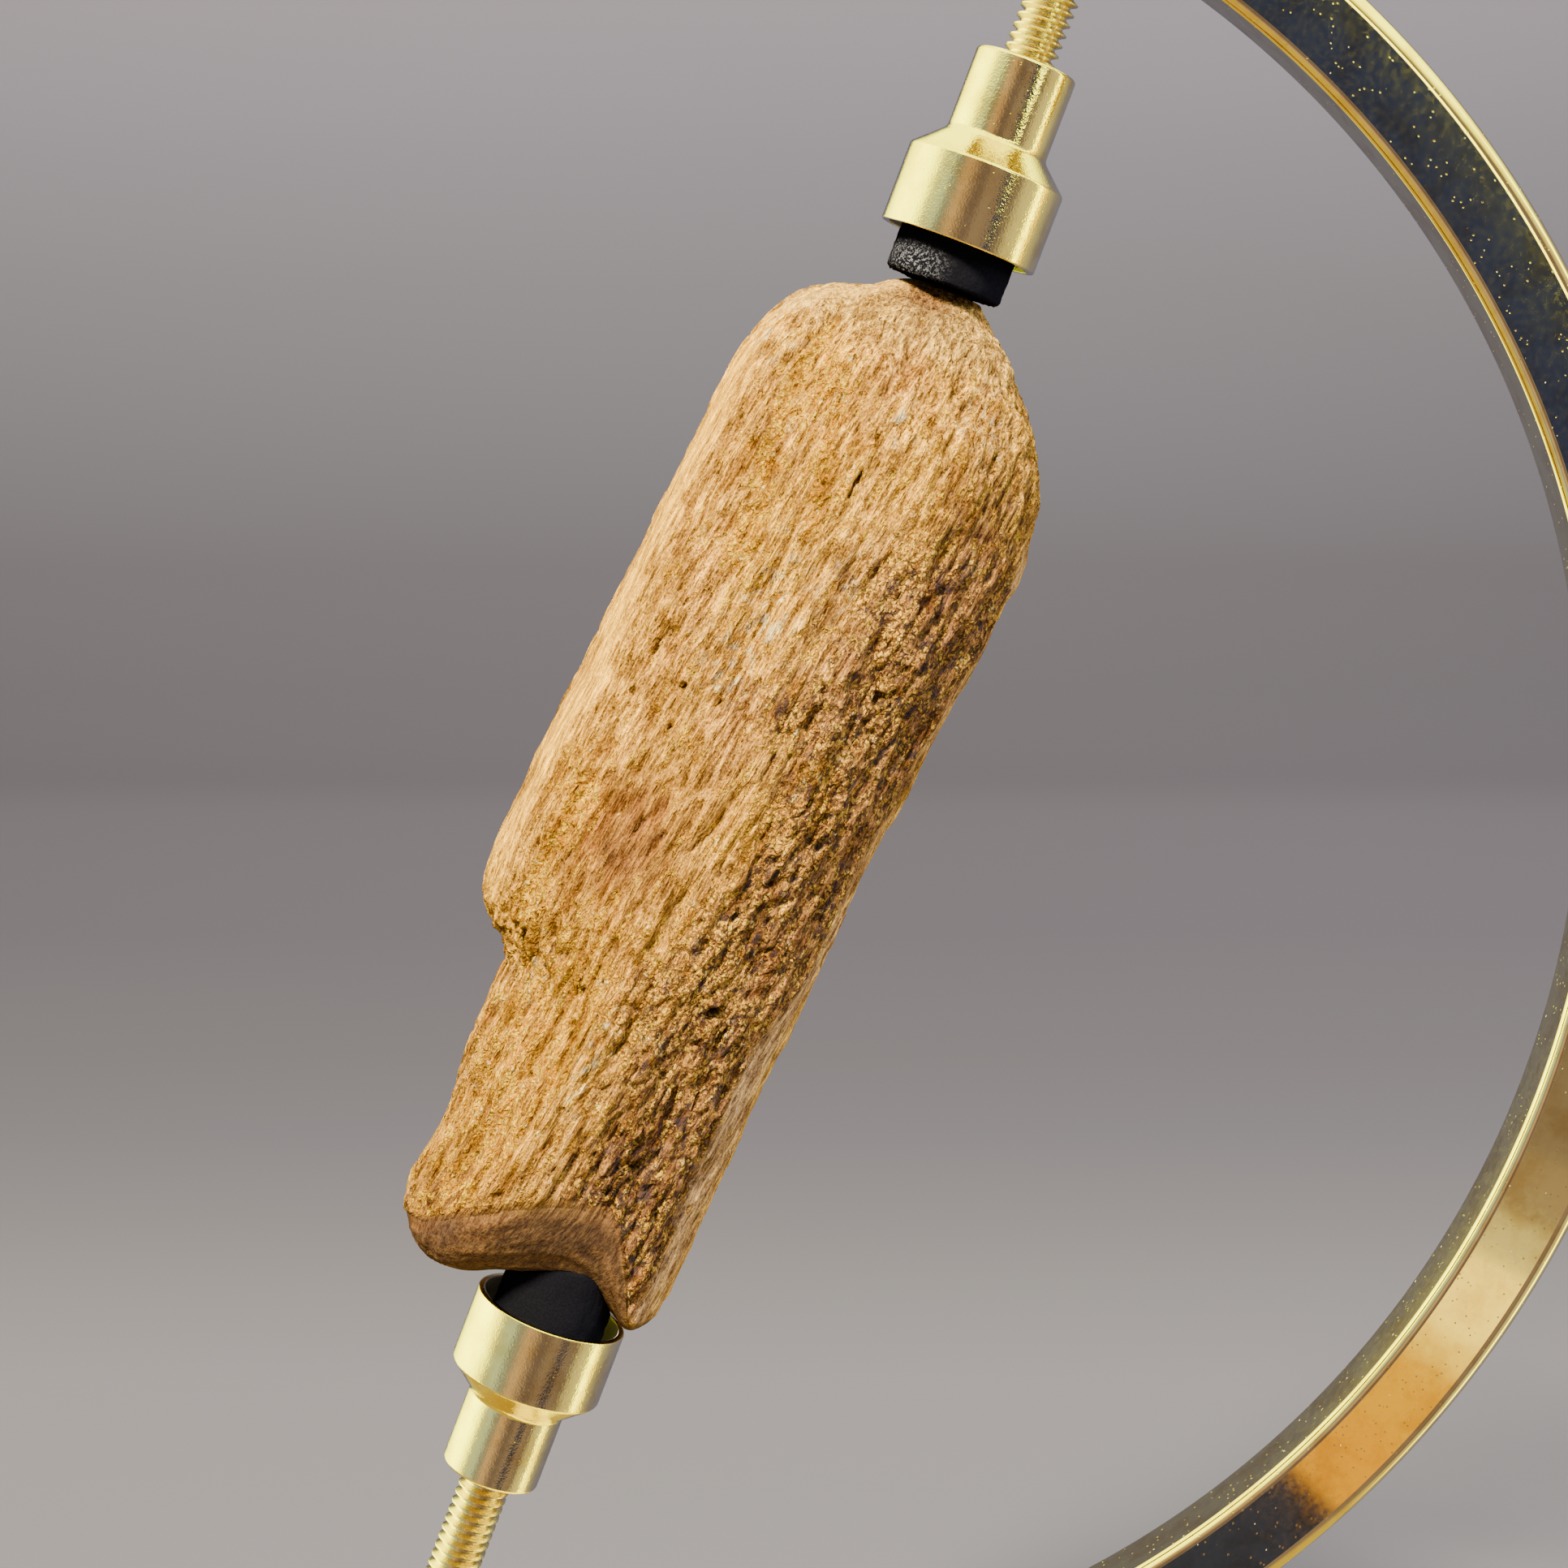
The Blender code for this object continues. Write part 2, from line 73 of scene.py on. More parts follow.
def linear(red: int, green: int, blue: int) -> Colour:
    """Turn a display colour into scene-linear values.

    Args:
        red: red, 0 to 255.
        green: green, 0 to 255.
        blue: blue, 0 to 255.

    Returns:
        The three linear values.
    """
    values = []
    for part in (red, green, blue):
        share = part / 255.0
        values.append(share / 12.92 if share <= 0.04045 else ((share + 0.055) / 1.055) ** 2.4)
    return values[0], values[1], values[2]


def clamp01(value: float) -> float:
    """Return the value held between 0 and 1."""
    return 0.0 if value < 0.0 else 1.0 if value > 1.0 else value


def ease(value: float, low: float, high: float) -> float:
    """Rise smoothly from 0 at low to 1 at high; low may lie above high for a fall."""
    share = clamp01((value - low) / (high - low))
    return share * share * (3.0 - 2.0 * share)


def mix(first: Colour, second: Colour, share: float) -> Colour:
    """Return the colour a share of the way from the first to the second."""
    keep = 1.0 - share
    return tuple(one * keep + two * share for one, two in zip(first, second))


def ripple(u: float, v: float, s: float, across: float, along: float, seed: float = 0.0) -> float:
    """Read a noise field, about -1 to 1, whose features are longer one way than the others."""
    return noise.noise(Vector((u / across + seed, v / across - seed, s / along + 3.1 * seed)))


def grain_axes(u: float, s: float) -> Pair:
    """Return how far a point lies across the grain and along it."""
    turned = math.cos(GRAIN_TURN), math.sin(GRAIN_TURN)
    return u * turned[0] - s * turned[1], u * turned[1] + s * turned[0]


def divide_evenly(lengths: list[float], parts: int) -> list[float]:
    """Find the places that divide a measured path evenly.

    Args:
        lengths: the path's length up to each of its marks, from 0.
        parts: how many parts to make.

    Returns:
        The places, both ends included, counted in marks.
    """
    places = []
    index = 0
    for part in range(parts + 1):
        wanted = lengths[-1] * part / parts
        while index < len(lengths) - 2 and lengths[index + 1] < wanted:
            index += 1
        places.append(index + (wanted - lengths[index]) / (lengths[index + 1] - lengths[index]))
    return places


def clamp_frame() -> Matrix:
    """Return the matrix from clamp millimetres to the row frame in metres."""
    foot = Vector((CLAMP_OFFSET * math.cos(LEAN), 0.0, ARM_CENTRE_HEIGHT - CLAMP_OFFSET * math.sin(LEAN)))
    return Matrix.Translation(foot * MM) @ Matrix.Rotation(LEAN, 4, "Y") @ Matrix.Scale(MM, 4)


class Side(Enum):
    """The two clamp screws."""

    UPPER = "upper"
    LOWER = "lower"

    def frame(self) -> Matrix:
        """Place this screw, whose own origin is the cup's rim with Z into the clamp.

        Returns:
            The matrix from the screw's millimetres to the row frame.
        """
        if self is Side.UPPER:
            turned = Matrix.Translation((0.0, 0.0, UPPER_RIM)) @ Matrix.Rotation(math.pi, 4, "X")
            return clamp_frame() @ turned
        return clamp_frame() @ Matrix.Translation((0.0, 0.0, LOWER_RIM))

    def body(self) -> str:
        """Return the name of the body that this screw moves with."""
        return f"{self.value}_clamp"


class Slot(Enum):
    """The record's material slots."""

    BRASS = "polished_brass"
    FOSSIL = "fossil_bone"
    FOAM = "black_foam"


# ---------------------------------------------------------------- shaping


def whole(bm: bmesh.types.BMesh) -> list:
    """Return every vertex, edge and face of a mesh."""
    return [*bm.verts, *bm.edges, *bm.faces]


def draw_line(bm: bmesh.types.BMesh, places: list[Place]) -> None:
    """Draw an open line of edges through some places.

    Args:
        bm: the mesh to draw in.
        places: the line's corners, in order.
    """
    corners = [bm.verts.new(place) for place in places]
    for first, second in zip(corners, corners[1:]):
        bm.edges.new((first, second))


def round_edges(bm: bmesh.types.BMesh, edges: list, width: float, segments: int) -> None:
    """Round some edges of a mesh.

    Args:
        bm: the mesh.
        edges: the edges to round.
        width: how far back each side is cut.
        segments: how many faces make each round.
    """
    bmesh.ops.bevel(
        bm, geom=edges, offset=width, segments=segments, profile=0.5, affect="EDGES", material=-1
    )


def to_mesh(bm: bmesh.types.BMesh, name: str) -> bpy.types.Mesh:
    """Keep a bmesh as a named mesh.

    Args:
        bm: the mesh; it is freed.
        name: the new mesh's name.

    Returns:
        The new mesh.
    """
    mesh = bpy.data.meshes.new(name)
    bm.to_mesh(mesh)
    bm.free()
    return mesh


def add_object(name: str, data: bpy.types.ID) -> bpy.types.Object:
    """Add a mesh, lamp or camera to the scene.

    Args:
        name: the new object's name.
        data: what the object shows.

    Returns:
        The object, at the origin.
    """
    made = bpy.data.objects.new(name, data)
    bpy.context.scene.collection.objects.link(made)
    return made


def bake(piece: bpy.types.Object) -> None:
    """Work a piece's modifiers into its mesh.

    Args:
        piece: the object, whose old mesh is removed.
    """
    bpy.context.view_layer.update()
    made = bpy.data.meshes.new_from_object(piece.evaluated_get(bpy.context.evaluated_depsgraph_get()))
    piece.modifiers.clear()
    old = piece.data
    name = old.name
    piece.data = made
    bpy.data.meshes.remove(old)
    made.name = name


def flatten_shading(piece: bpy.types.Object) -> None:
    """Let the broad faces set the shading, so that flat and turned faces mirror truly.

    Args:
        piece: the object to treat.
    """
    weights = piece.modifiers.new("Flat faces", "WEIGHTED_NORMAL")
    weights.keep_sharp = True
    weights.weight = 80
    bake(piece)


def settle(
    bm: bmesh.types.BMesh,
    name: str,
    matrix: Matrix,
    material: bpy.types.Material,
    body: str,
    slot: Slot,
    sharp_angle: float = 40.0,
) -> bpy.types.Object:
    """Turn a finished bmesh into a piece that stands for the CAD node of the same name.

    Args:
        bm: the mesh, in its own millimetres; it is freed.
        name: the CAD node that the piece replaces.
        matrix: from the mesh's millimetres to the row frame in metres.
        material: the finish.
        body: the body that the piece rides on.
        slot: the piece's material slot; here it only decides whether its shading is flattened, as brass's
            is.
        sharp_angle: edges bent further than this, in degrees, stay sharp.

    Returns:
        The new object, at the origin.
    """
    bmesh.ops.transform(bm, matrix=matrix, verts=bm.verts)
    bmesh.ops.recalc_face_normals(bm, faces=bm.faces)
    mesh = to_mesh(bm, f"{name}_dressed")
    mesh.materials.append(material)
    mesh.shade_smooth()
    mesh.set_sharp_from_angle(angle=math.radians(sharp_angle))
    piece = add_object(f"{name}_dressed", mesh)
    if slot is Slot.BRASS:
        flatten_shading(piece)
    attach(piece, body)
    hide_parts(name)
    log.info("%s: %d faces on %s", piece.name, len(piece.data.polygons), body)
    return piece


@dataclass
class Turning:
    """An outline of (radius, height) points turned about Z, with its corners broken."""

    outline: tuple[Pair, ...]
    breaks: tuple[tuple[int, float], ...] = ()
    steps: int = 128
    rounding_steps: int = 3
    ring_reach: float = 1e-3

    def mesh(self) -> bmesh.types.BMesh:
        """Turn the outline and round the corners that breaks names by number and width.

        Returns:
            The solid.
        """
        bm = bmesh.new()
        draw_line(bm, [(radius, 0.0, height) for radius, height in self.outline])
        bmesh.ops.spin(
            bm,
            geom=whole(bm),
            cent=(0.0, 0.0, 0.0),
            axis=(0.0, 0.0, 1.0),
            angle=FULL_TURN,
            steps=self.steps,
            use_merge=True,
        )
        bmesh.ops.remove_doubles(bm, verts=bm.verts, dist=MERGE_DISTANCE)
        bmesh.ops.recalc_face_normals(bm, faces=bm.faces)
        for index, width in self.breaks:
            ring = [edge for edge in bm.edges if all(self.on_ring(vert, index) for vert in edge.verts)]
            round_edges(bm, ring, width, self.rounding_steps)
        return bm

    def on_ring(self, vert: bmesh.types.BMVert, index: int) -> bool:
        """Tell whether a vertex lies on the ring that a corner of the outline drew.

        Args:
            vert: the vertex.
            index: the corner's number.

        Returns:
            Whether it does.
        """
        radius, height = self.outline[index]
        apart = max(abs(vert.co.z - height), abs(math.hypot(vert.co.x, vert.co.y) - radius))
        return apart < self.ring_reach


# ---------------------------------------------------------------- finishes


@dataclass
class ShaderNet:
    """The node tree of a material or of the world, with short ways to add what the finishes use."""

    owner: bpy.types.ID

    def __post_init__(self) -> None:
        """Find the tree and its shader."""
        self.owner.use_nodes = True
        self.tree = self.owner.node_tree
        self.shader = self.tree.nodes.get("Principled BSDF") or self.tree.nodes["Background"]

    def add(self, kind: str, inputs: dict | None = None, **settings: object) -> bpy.types.Node:
        """Add a node.

        Args:
            kind: the node's type without its "ShaderNode" start.
            inputs: socket name or number to a value or to the socket that feeds it.
            settings: the node's own properties.

        Returns:
            The node.
        """
        node = self.tree.nodes.new("ShaderNode" + kind)
        for key, value in settings.items():
            setattr(node, key, value)
        for key, value in (inputs or {}).items():
            self.feed(node.inputs[key], value)
        return node

    def feed(self, socket: Socket, value: object) -> None:
        """Set a socket to a value, or link it to another socket.

        Args:
            socket: the socket to feed.
            value: a number, vector or colour, or the socket to read.
        """
        if isinstance(value, Socket):
            self.tree.links.new(value, socket)
        elif isinstance(value, tuple) and len(value) == 3 and socket.type == "RGBA":
            socket.default_value = (*value, 1.0)
        else:
            socket.default_value = value

    def dress(self, inputs: dict[str, object]) -> bpy.types.ID:
        """Feed the shader.

        Args:
            inputs: the shader's inputs by name.

        Returns:
            The finished material or world.
        """
        for name, value in inputs.items():
            self.feed(self.shader.inputs[name], value)
        return self.owner

    def attribute(self, name: str, output: str = "Fac") -> Socket:
        """Return what the mesh carries under a name."""
        return self.add("Attribute", attribute_name=name).outputs[output]

    def place(self, size: Place, turn: float = LEAN) -> Socket:
        """Count object coordinates in features, from the middle of the clamp.

        Args:
            size: feature size in millimetres across, in depth and along.
            turn: lean of the last direction from the vertical.

        Returns:
            The vector.
        """
        where = self.add("TexCoord").outputs["Object"]
        inputs = {
            "Vector": where,
            "Location": clamp_frame().translation,
            "Rotation": (0.0, turn, 0.0),
            "Scale": tuple(part * MM for part in size),
        }
        return self.add("Mapping", inputs, vector_type="TEXTURE").outputs[0]

    def noise(self, vector: Socket, detail: float = 2.0, rough: float = 0.5) -> Socket:
        """Return a noise field, about 0 to 1, one feature to a unit of the vector."""
        inputs = {"Vector": vector, "Scale": 1.0, "Detail": detail, "Roughness": rough}
        return self.add("TexNoise", inputs).outputs["Fac"]

    def cells(self, vector: Socket) -> tuple[Socket, bpy.types.bpy_prop_collection]:
        """Scatter cells, one to a unit of the vector.

        Args:
            vector: where the cells lie.

        Returns:
            The distance from each cell's middle, and three numbers that each cell picks by chance.
        """
        cells = self.add("TexVoronoi", {"Vector": vector, "Scale": 1.0})
        return cells.outputs["Distance"], self.add("SeparateColor", {0: cells.outputs["Color"]}).outputs

    def span(self, value: Socket, low: float, high: float, onto: Pair = (0.0, 1.0)) -> Socket:
        """Read a value between two limits onto two others, smoothly and clamped."""
        inputs = {0: value, 1: low, 2: high, 3: onto[0], 4: onto[1]}
        return self.add("MapRange", inputs, interpolation_type="SMOOTHSTEP").outputs[0]

    def math(self, operation: str, *values: object) -> Socket:
        """Return the result of one sum."""
        return self.add("Math", dict(enumerate(values)), operation=operation).outputs[0]

    def times(self, first: object, second: object) -> Socket:
        """Return a product."""
        return self.math("MULTIPLY", first, second)

    def plus(self, *parts: object) -> Socket:
        """Return the sum of two or more parts.

        Args:
            parts: the numbers or sockets to add up.

        Returns:
            The sum.
        """
        total = parts[0]
        for part in parts[1:]:
            total = self.math("ADD", total, part)
        return total

    def blend(self, share: object, first: object, second: object, mode: str = "MIX") -> Socket:
        """Return two colours mixed by a share."""
        return self.add("Mix", {0: share, 6: first, 7: second}, data_type="RGBA", blend_type=mode).outputs[2]

    def ramp(self, value: object, stops: Stops) -> Socket:
        """Read a colour from a value.

        Args:
            value: the number to read.
            stops: pairs of a place and its colour.

        Returns:
            The colour.
        """
        node = self.add("ValToRGB", {0: value})
        elements = node.color_ramp.elements
        for index, (place, colour) in enumerate(stops):
            element = elements[index] if index < 2 else elements.new(place)
            element.position = place
            element.color = (*colour, 1.0)
        return node.outputs[0]

    def bump(self, height: object, depth: float, strength: float, under: Socket | None = None) -> Socket:
        """Bend the normal by a height field.

        Args:
            height: the field, about 0 to 1.
            depth: the field's full range in millimetres.
            strength: how much of the bend to show.
            under: a normal that is bent already.

        Returns:
            The bent normal.
        """
        inputs = {"Height": height, "Distance": depth * MM, "Strength": strength}
        if under is not None:
            inputs["Normal"] = under
        return self.add("Bump", inputs).outputs[0]


class Turned(Enum):
    """What a brass piece was turned or polished about."""

    CLAMP = "clamp"
    UPRIGHT = "upright"
    ARC = "arc"


@dataclass(frozen=True)
class Brass:
    """Polished brass with lathe or buffing marks, small pits and settled dust."""

    name: str
    turned: Turned
    colour: Colour = linear(236, 218, 150)
    deep: Colour = linear(196, 160, 84)
    dusty: Colour = linear(205, 205, 200)
    roughness: float = 0.1
    mark_width: float = 0.11
    mark_length: float = 60.0
    mark_depth: float = 0.003
    marks_to_a_turn: float = 5.0
    pit_size: float = 0.3
    pit_depth: float = 0.02
    speckle: float = 0.014
    lustre: float = 1.0
    dust: float = 0.0

    def marks(self, net: ShaderNet) -> Socket:
        """Return the vector along which the fine marks vary.

        Args:
            net: the material's tree.

        Returns:
            The vector, one mark to a unit.
        """
        if self.turned is not Turned.ARC:
            turn = LEAN if self.turned is Turned.CLAMP else 0.0
            return net.place((self.mark_length, self.mark_length, self.mark_width), turn)
        inputs = {
            "Vector": net.add("TexCoord").outputs["Object"],
            "Location": (0.0, 0.0, ARM_CENTRE_HEIGHT * MM),
            "Scale": (MM, MM, MM),
        }
        centre = net.add("Mapping", inputs, vector_type="TEXTURE").outputs[0]
        across, deep, up = net.add("SeparateXYZ", {0: centre}).outputs
        flat = net.add("CombineXYZ", {0: across, 1: 0.0, 2: up}).outputs[0]
        radius = net.add("VectorMath", {0: flat}, operation="LENGTH").outputs["Value"]
        inputs = {
            0: net.math("DIVIDE", radius, self.mark_width),
            1: net.math("DIVIDE", deep, self.mark_width),
            2: net.times(net.math("ARCTAN2", across, up), self.marks_to_a_turn),
        }
        return net.add("CombineXYZ", inputs).outputs[0]

    def material(self) -> bpy.types.Material:
        """Mix the finish.

        Returns:
            The material.
        """
        net = ShaderNet(bpy.data.materials.new(self.name))
        lines = net.noise(self.marks(net), detail=3.0, rough=0.65)
        cloud = net.noise(net.place((3.0, 3.0, 3.0)), detail=4.0, rough=0.6)
        fine = net.noise(net.place((0.5, 0.5, 0.5)), detail=3.0, rough=0.6)
        speckle = net.noise(net.place((0.16, 0.16, 0.16)), detail=1.0)
        middle, picks = net.cells(net.place((self.pit_size,) * 3))
        pits = net.times(net.span(middle, 0.28, 0.14), net.span(picks[0], 0.88, 0.94))
        tarnish = net.span(cloud, 0.42, 0.68)
        colour = net.blend(net.times(tarnish, 0.45), self.colour, self.deep)
        colour = net.blend(net.times(pits, 0.55), colour, self.deep)
        rough = net.span(fine, 0.3, 0.75, (self.roughness * 0.8, self.roughness * 1.5))
        metal: object = self.lustre
        if self.dust > 0.0:
            middle, picks = net.cells(net.place((0.5, 0.5, 0.8)))
            dust = net.times(net.span(middle, 0.16, 0.06), net.span(picks[1], 1.0 - self.dust, 1.0))
            colour = net.blend(dust, colour, self.dusty)
            metal = net.math("SUBTRACT", 1.0, dust)
            rough = net.math("MAXIMUM", rough, dust)
        normal = net.bump(lines, self.mark_depth, 0.6)
        normal = net.bump(net.times(pits, -1.0), self.pit_depth, 0.5, normal)
        normal = net.bump(fine, self.speckle, 0.8, normal)
        normal = net.bump(speckle, self.speckle, 0.9, normal)
        return net.dress({"Base Color": colour, "Metallic": metal, "Roughness": rough, "Normal": normal})


@dataclass(frozen=True)
class Foam:
    """Black closed-cell foam with torn pale flecks along its cut edge."""

    name: str
    flecked: bool
    colour: Colour = linear(15, 14, 18)
    walls: Colour = linear(18, 17, 21)
    torn: Colour = linear(104, 104, 110)
    cell: float = 0.2
    fleck: float = 0.16

    def material(self) -> bpy.types.Material:
        """Mix the finish.

        Returns:
            The material.
        """
        net = ShaderNet(bpy.data.materials.new(self.name))
        middle, _ = net.cells(net.place((self.cell,) * 3))
        walls = net.span(middle, 0.25, 0.75)
        soft = net.noise(net.place((0.5, 0.5, 0.5)), detail=4.0, rough=0.7)
        colour = net.blend(walls, self.colour, self.walls)
        if self.flecked:
            middle, picks = net.cells(net.place((self.fleck,) * 3))
            edge = net.times(net.span(middle, 0.35, 0.7), net.attribute("torn"))
            colour = net.blend(net.times(edge, net.span(picks[2], 0.35, 0.75)), colour, self.torn)
        normal = net.bump(soft, 0.1, 0.6, net.bump(walls, 0.02, 0.5))
        return net.dress(
            {"Base Color": colour, "Roughness": 0.95, "Specular IOR Level": 0.0, "Normal": normal}
        )


@dataclass(frozen=True)
class FossilSkin:
    """Mineralised bone: fibrous cortex whose tint lies in the mesh, with ochre grains in its hollows."""

    name: str = "fossil_bone_skin"
    # The colour of the seams between grains: partly dark matrix, partly painted shade between them.
    gap: Colour = linear(66, 42, 32)
    bright_grain: Colour = linear(246, 196, 44)
    ochre_grain: Colour = linear(222, 150, 14)
    brown_grain: Colour = linear(140, 92, 48)
    pale_grain: Colour = linear(196, 164, 124)
    cream: Colour = linear(250, 222, 150)
    stain: Colour = linear(62, 48, 48)
    grain_size: Place = (0.27, 0.27, 0.36)
    grain_warp: float = 2.6
    shades: Stops = (
        (0.16, (0.09, 0.08, 0.078)),
        (0.36, (0.23, 0.212, 0.2)),
        (0.56, (0.41, 0.41, 0.39)),
        (0.84, (0.82, 0.82, 0.6)),
    )
    mottles: Stops = ((0.34, (0.56, 0.48, 0.4)), (0.5, (0.98, 0.97, 0.95)), (0.66, (1.34, 1.34, 1.1)))

    def field(self, net: ShaderNet, size: Place, detail: float, rough: float) -> Socket:
        """Return a noise field whose features lie along the grain."""
        return net.noise(net.place(size, LEAN + GRAIN_TURN), detail, rough)

    def grains(self, net: ShaderNet, tint: Socket, sponge: Socket) -> tuple[Socket, Socket]:
        """Scatter the grains that fill the hollows.

        Args:
            net: the material's tree.
            tint: the bone's colour under them.
            sponge: the share of open bone.

        Returns:
            The grains' colour, and the distance from each grain's middle.
        """
        even = net.place(self.grain_size, LEAN + GRAIN_TURN)
        warp = net.add("TexNoise", {"Vector": even, "Scale": 0.7, "Detail": 2.0}).outputs["Color"]
        inputs = {0: warp, 1: (self.grain_warp,) * 3}
        warp = net.add("VectorMath", inputs, operation="MULTIPLY").outputs[0]
        middle, picks = net.cells(net.add("VectorMath", {0: even, 1: warp}, operation="ADD").outputs[0])
        grain = net.blend(net.span(picks[0], 0.25, 0.85), self.ochre_grain, self.bright_grain)
        brown = net.times(net.span(picks[1], 0.6, 0.75), net.plus(net.times(sponge, 0.6), 0.15))
        grain = net.blend(brown, grain, self.brown_grain)
        grain = net.blend(net.span(picks[2], 0.965, 0.98), grain, self.cream)
        grain = net.blend(net.times(sponge, 0.15), grain, self.pale_grain)
        # The grains take part of the tint beneath, painted shade included.
        grain = net.blend(net.plus(net.times(sponge, 0.15), 0.28), grain, tint)
        # The seams between grains are darkened, more in the open bone: partly dark matrix, partly painted
        # shade between the grains.
        seam = net.times(net.span(middle, 0.36, 0.66), net.plus(net.times(sponge, 0.4), 0.5))
        return net.blend(seam, grain, self.gap), middle

    def material(self) -> bpy.types.Material:
        """Mix the finish from what the mesh carries at each vertex.

        Returns:
            The material.
        """
        net = ShaderNet(bpy.data.materials.new(self.name))
        tint = net.attribute("tint", "Color")
        sponge, ochre, smooth = (net.attribute(name) for name in ("sponge", "ochre", "smoothness"))
        fibres = self.field(net, (0.17, 0.17, 1.6), 3.0, 0.6)
        strands = self.field(net, (0.4, 0.4, 3.6), 2.0, 0.5)
        grit = self.field(net, (0.13, 0.13, 0.2), 2.0, 0.6)
        blobs = self.field(net, (0.55, 0.55, 1.8), 4.0, 0.62)
        stains = self.field(net, (0.9, 0.9, 1.5), 3.0, 0.6)
        patches = self.field(net, (1.3, 1.3, 4.2), 3.0, 0.6)

        grain, middle = self.grains(net, tint, sponge)
        lean = net.plus(blobs, net.times(ochre, 0.24), net.times(sponge, 0.1))
        filled = net.span(net.math("SUBTRACT", lean, net.times(smooth, 0.2)), 0.55, 0.62)

        lively = net.plus(
            net.times(net.span(fibres, 0.34, 0.66), 0.35),
            net.times(net.span(strands, 0.34, 0.66), 0.35),
            net.times(net.span(grit, 0.33, 0.67), 0.3),
        )
        lively = net.add("Mix", {0: net.times(smooth, 0.45), 2: lively, 3: 0.6}).outputs[0]
        colour = net.blend(1.0, tint, net.ramp(lively, self.shades), "MULTIPLY")
        colour = net.blend(1.0, colour, (2.0, 2.0, 2.0), "MULTIPLY")
        colour = net.blend(filled, colour, grain)
        mottled = net.blend(1.0, colour, net.ramp(patches, self.mottles), "MULTIPLY")
        colour = net.blend(net.math("SUBTRACT", 1.0, net.times(smooth, 0.8)), colour, mottled)
        dark = net.times(net.span(stains, 0.54, 0.66), net.math("MAXIMUM", sponge, 0.12))
        colour = net.blend(net.times(dark, 0.85), colour, self.stain)

        coarse = net.math("SUBTRACT", 1.0, net.times(smooth, 0.75))
        normal = net.bump(net.times(strands, coarse), 0.6, 1.0)
        normal = net.bump(net.times(fibres, coarse), 0.34, 1.0, normal)
        normal = net.bump(net.times(filled, net.math("SUBTRACT", 0.9, middle)), 0.36, 0.9, normal)
        normal = net.bump(net.times(grit, coarse), 0.12, 0.9, normal)
        return net.dress(
            {"Base Color": colour, "Roughness": 0.8, "Specular IOR Level": 0.0, "Normal": normal}
        )


# ---------------------------------------------------------------- the bone


@dataclass(eq=False)
class Curve:
    """A smooth curve through (place, value) points, kept as a fine table."""

    points: tuple[Pair, ...]
    step: float = 0.05

    def __post_init__(self) -> None:
        """Fill the table."""
        self.ordered = sorted(self.points)
        self.low = self.ordered[0][0]
        self.high = self.ordered[-1][0]
        count = int((self.high - self.low) / self.step) + 2
        self.table = [self.exact(self.low + self.step * index) for index in range(count)]

    def exact(self, place: float) -> float:
        """Work out the curve at a place.

        Args:
            place: where to read; held at the ends.

        Returns:
            The value.
        """
        known = self.ordered
        if place <= known[0][0]:
            return known[0][1]
        if place >= known[-1][0]:
            return known[-1][1]
        index = next(i for i in range(len(known) - 1) if known[i + 1][0] >= place)
        (x0, y0), (x1, y1) = known[index], known[index + 1]
        before = known[max(index - 1, 0)]
        after = known[min(index + 2, len(known) - 1)]
        slope0 = (y1 - before[1]) / (x1 - before[0])
        slope1 = (after[1] - y0) / (after[0] - x0)
        span = x1 - x0
        t = (place - x0) / span
        return (
            (2 * t**3 - 3 * t**2 + 1) * y0
            + (t**3 - 2 * t**2 + t) * span * slope0
            + (3 * t**2 - 2 * t**3) * y1
            + (t**3 - t**2) * span * slope1
        )

    def at(self, place: float) -> float:
        """Read the table at a place.

        Args:
            place: where to read; held at the ends.

        Returns:
            The value, from a straight line between two rows of the table.
        """
        index = (place - self.low) / self.step
        if index <= 0.0:
            return self.table[0]
        if place >= self.high:
            return self.ordered[-1][1]
        row = int(index)
        return self.table[row] + (self.table[row + 1] - self.table[row]) * (index - row)


@dataclass(frozen=True)
class Pit:
    """A hole in the surface, drawn out along the grain."""

    u: float
    s: float
    across: float
    along: float
    depth: float
    reach: float = 3.0

    @cached_property
    def middle(self) -> Pair:
        """Return how far the pit lies across the grain and along it."""
        return grain_axes(self.u, self.s)


@dataclass(frozen=True)
class Groove:
    """A long hollow (or, with a negative depth, a ridge) along a path of (u, s) points."""

    path: tuple[Pair, ...]
    width: float
    depth: float
    ochre: float = 0.0
    reach: float = 2.5

    def distance(self, u: float, s: float) -> float:
        """Measure to the path.

        Args:
            u: place across.
            s: place along.

        Returns:
            How far the point lies from the nearest part of the path.
        """
        nearest = math.inf
        for (u0, s0), (u1, s1) in zip(self.path, self.path[1:]):
            du, ds = u1 - u0, s1 - s0
            share = clamp01(((u - u0) * du + (s - s0) * ds) / (du * du + ds * ds))
            nearest = min(nearest, math.hypot(u - u0 - share * du, s - s0 - share * ds))
        return nearest

    @cached_property
    def box(self) -> tuple[float, float, float, float]:
        """Find the box outside which the groove has no effect.

        Returns:
            Its lowest and highest u, and its lowest and highest s.
        """
        margin = self.reach * self.width
        us, ss = zip(*self.path)
        return min(us) - margin, max(us) + margin, min(ss) - margin, max(ss) + margin

    def touches(self, u: float, s: float) -> bool:
        """Return whether a point lies in the box."""
        low_u, high_u, low_s, high_s = self.box
        return low_u < u < high_u and low_s < s < high_s


@dataclass(frozen=True)
class Patch:
    """A soft oval on the front face."""

    u: float
    s: float
    across: float
    along: float
    amount: float

    def at(self, u: float, s: float) -> float:
        """Return the patch's strength at a point."""
        square = ((u - self.u) / self.across) ** 2 + ((s - self.s) / self.along) ** 2
        return self.amount * math.exp(-square) if square < 9.0 else 0.0


def patches(*rows: tuple[float, float, float, float, float]) -> tuple[Patch, ...]:
    """Return a patch for each row of u, s, size across, size along and amount."""
    return tuple(Patch(*row) for row in rows)


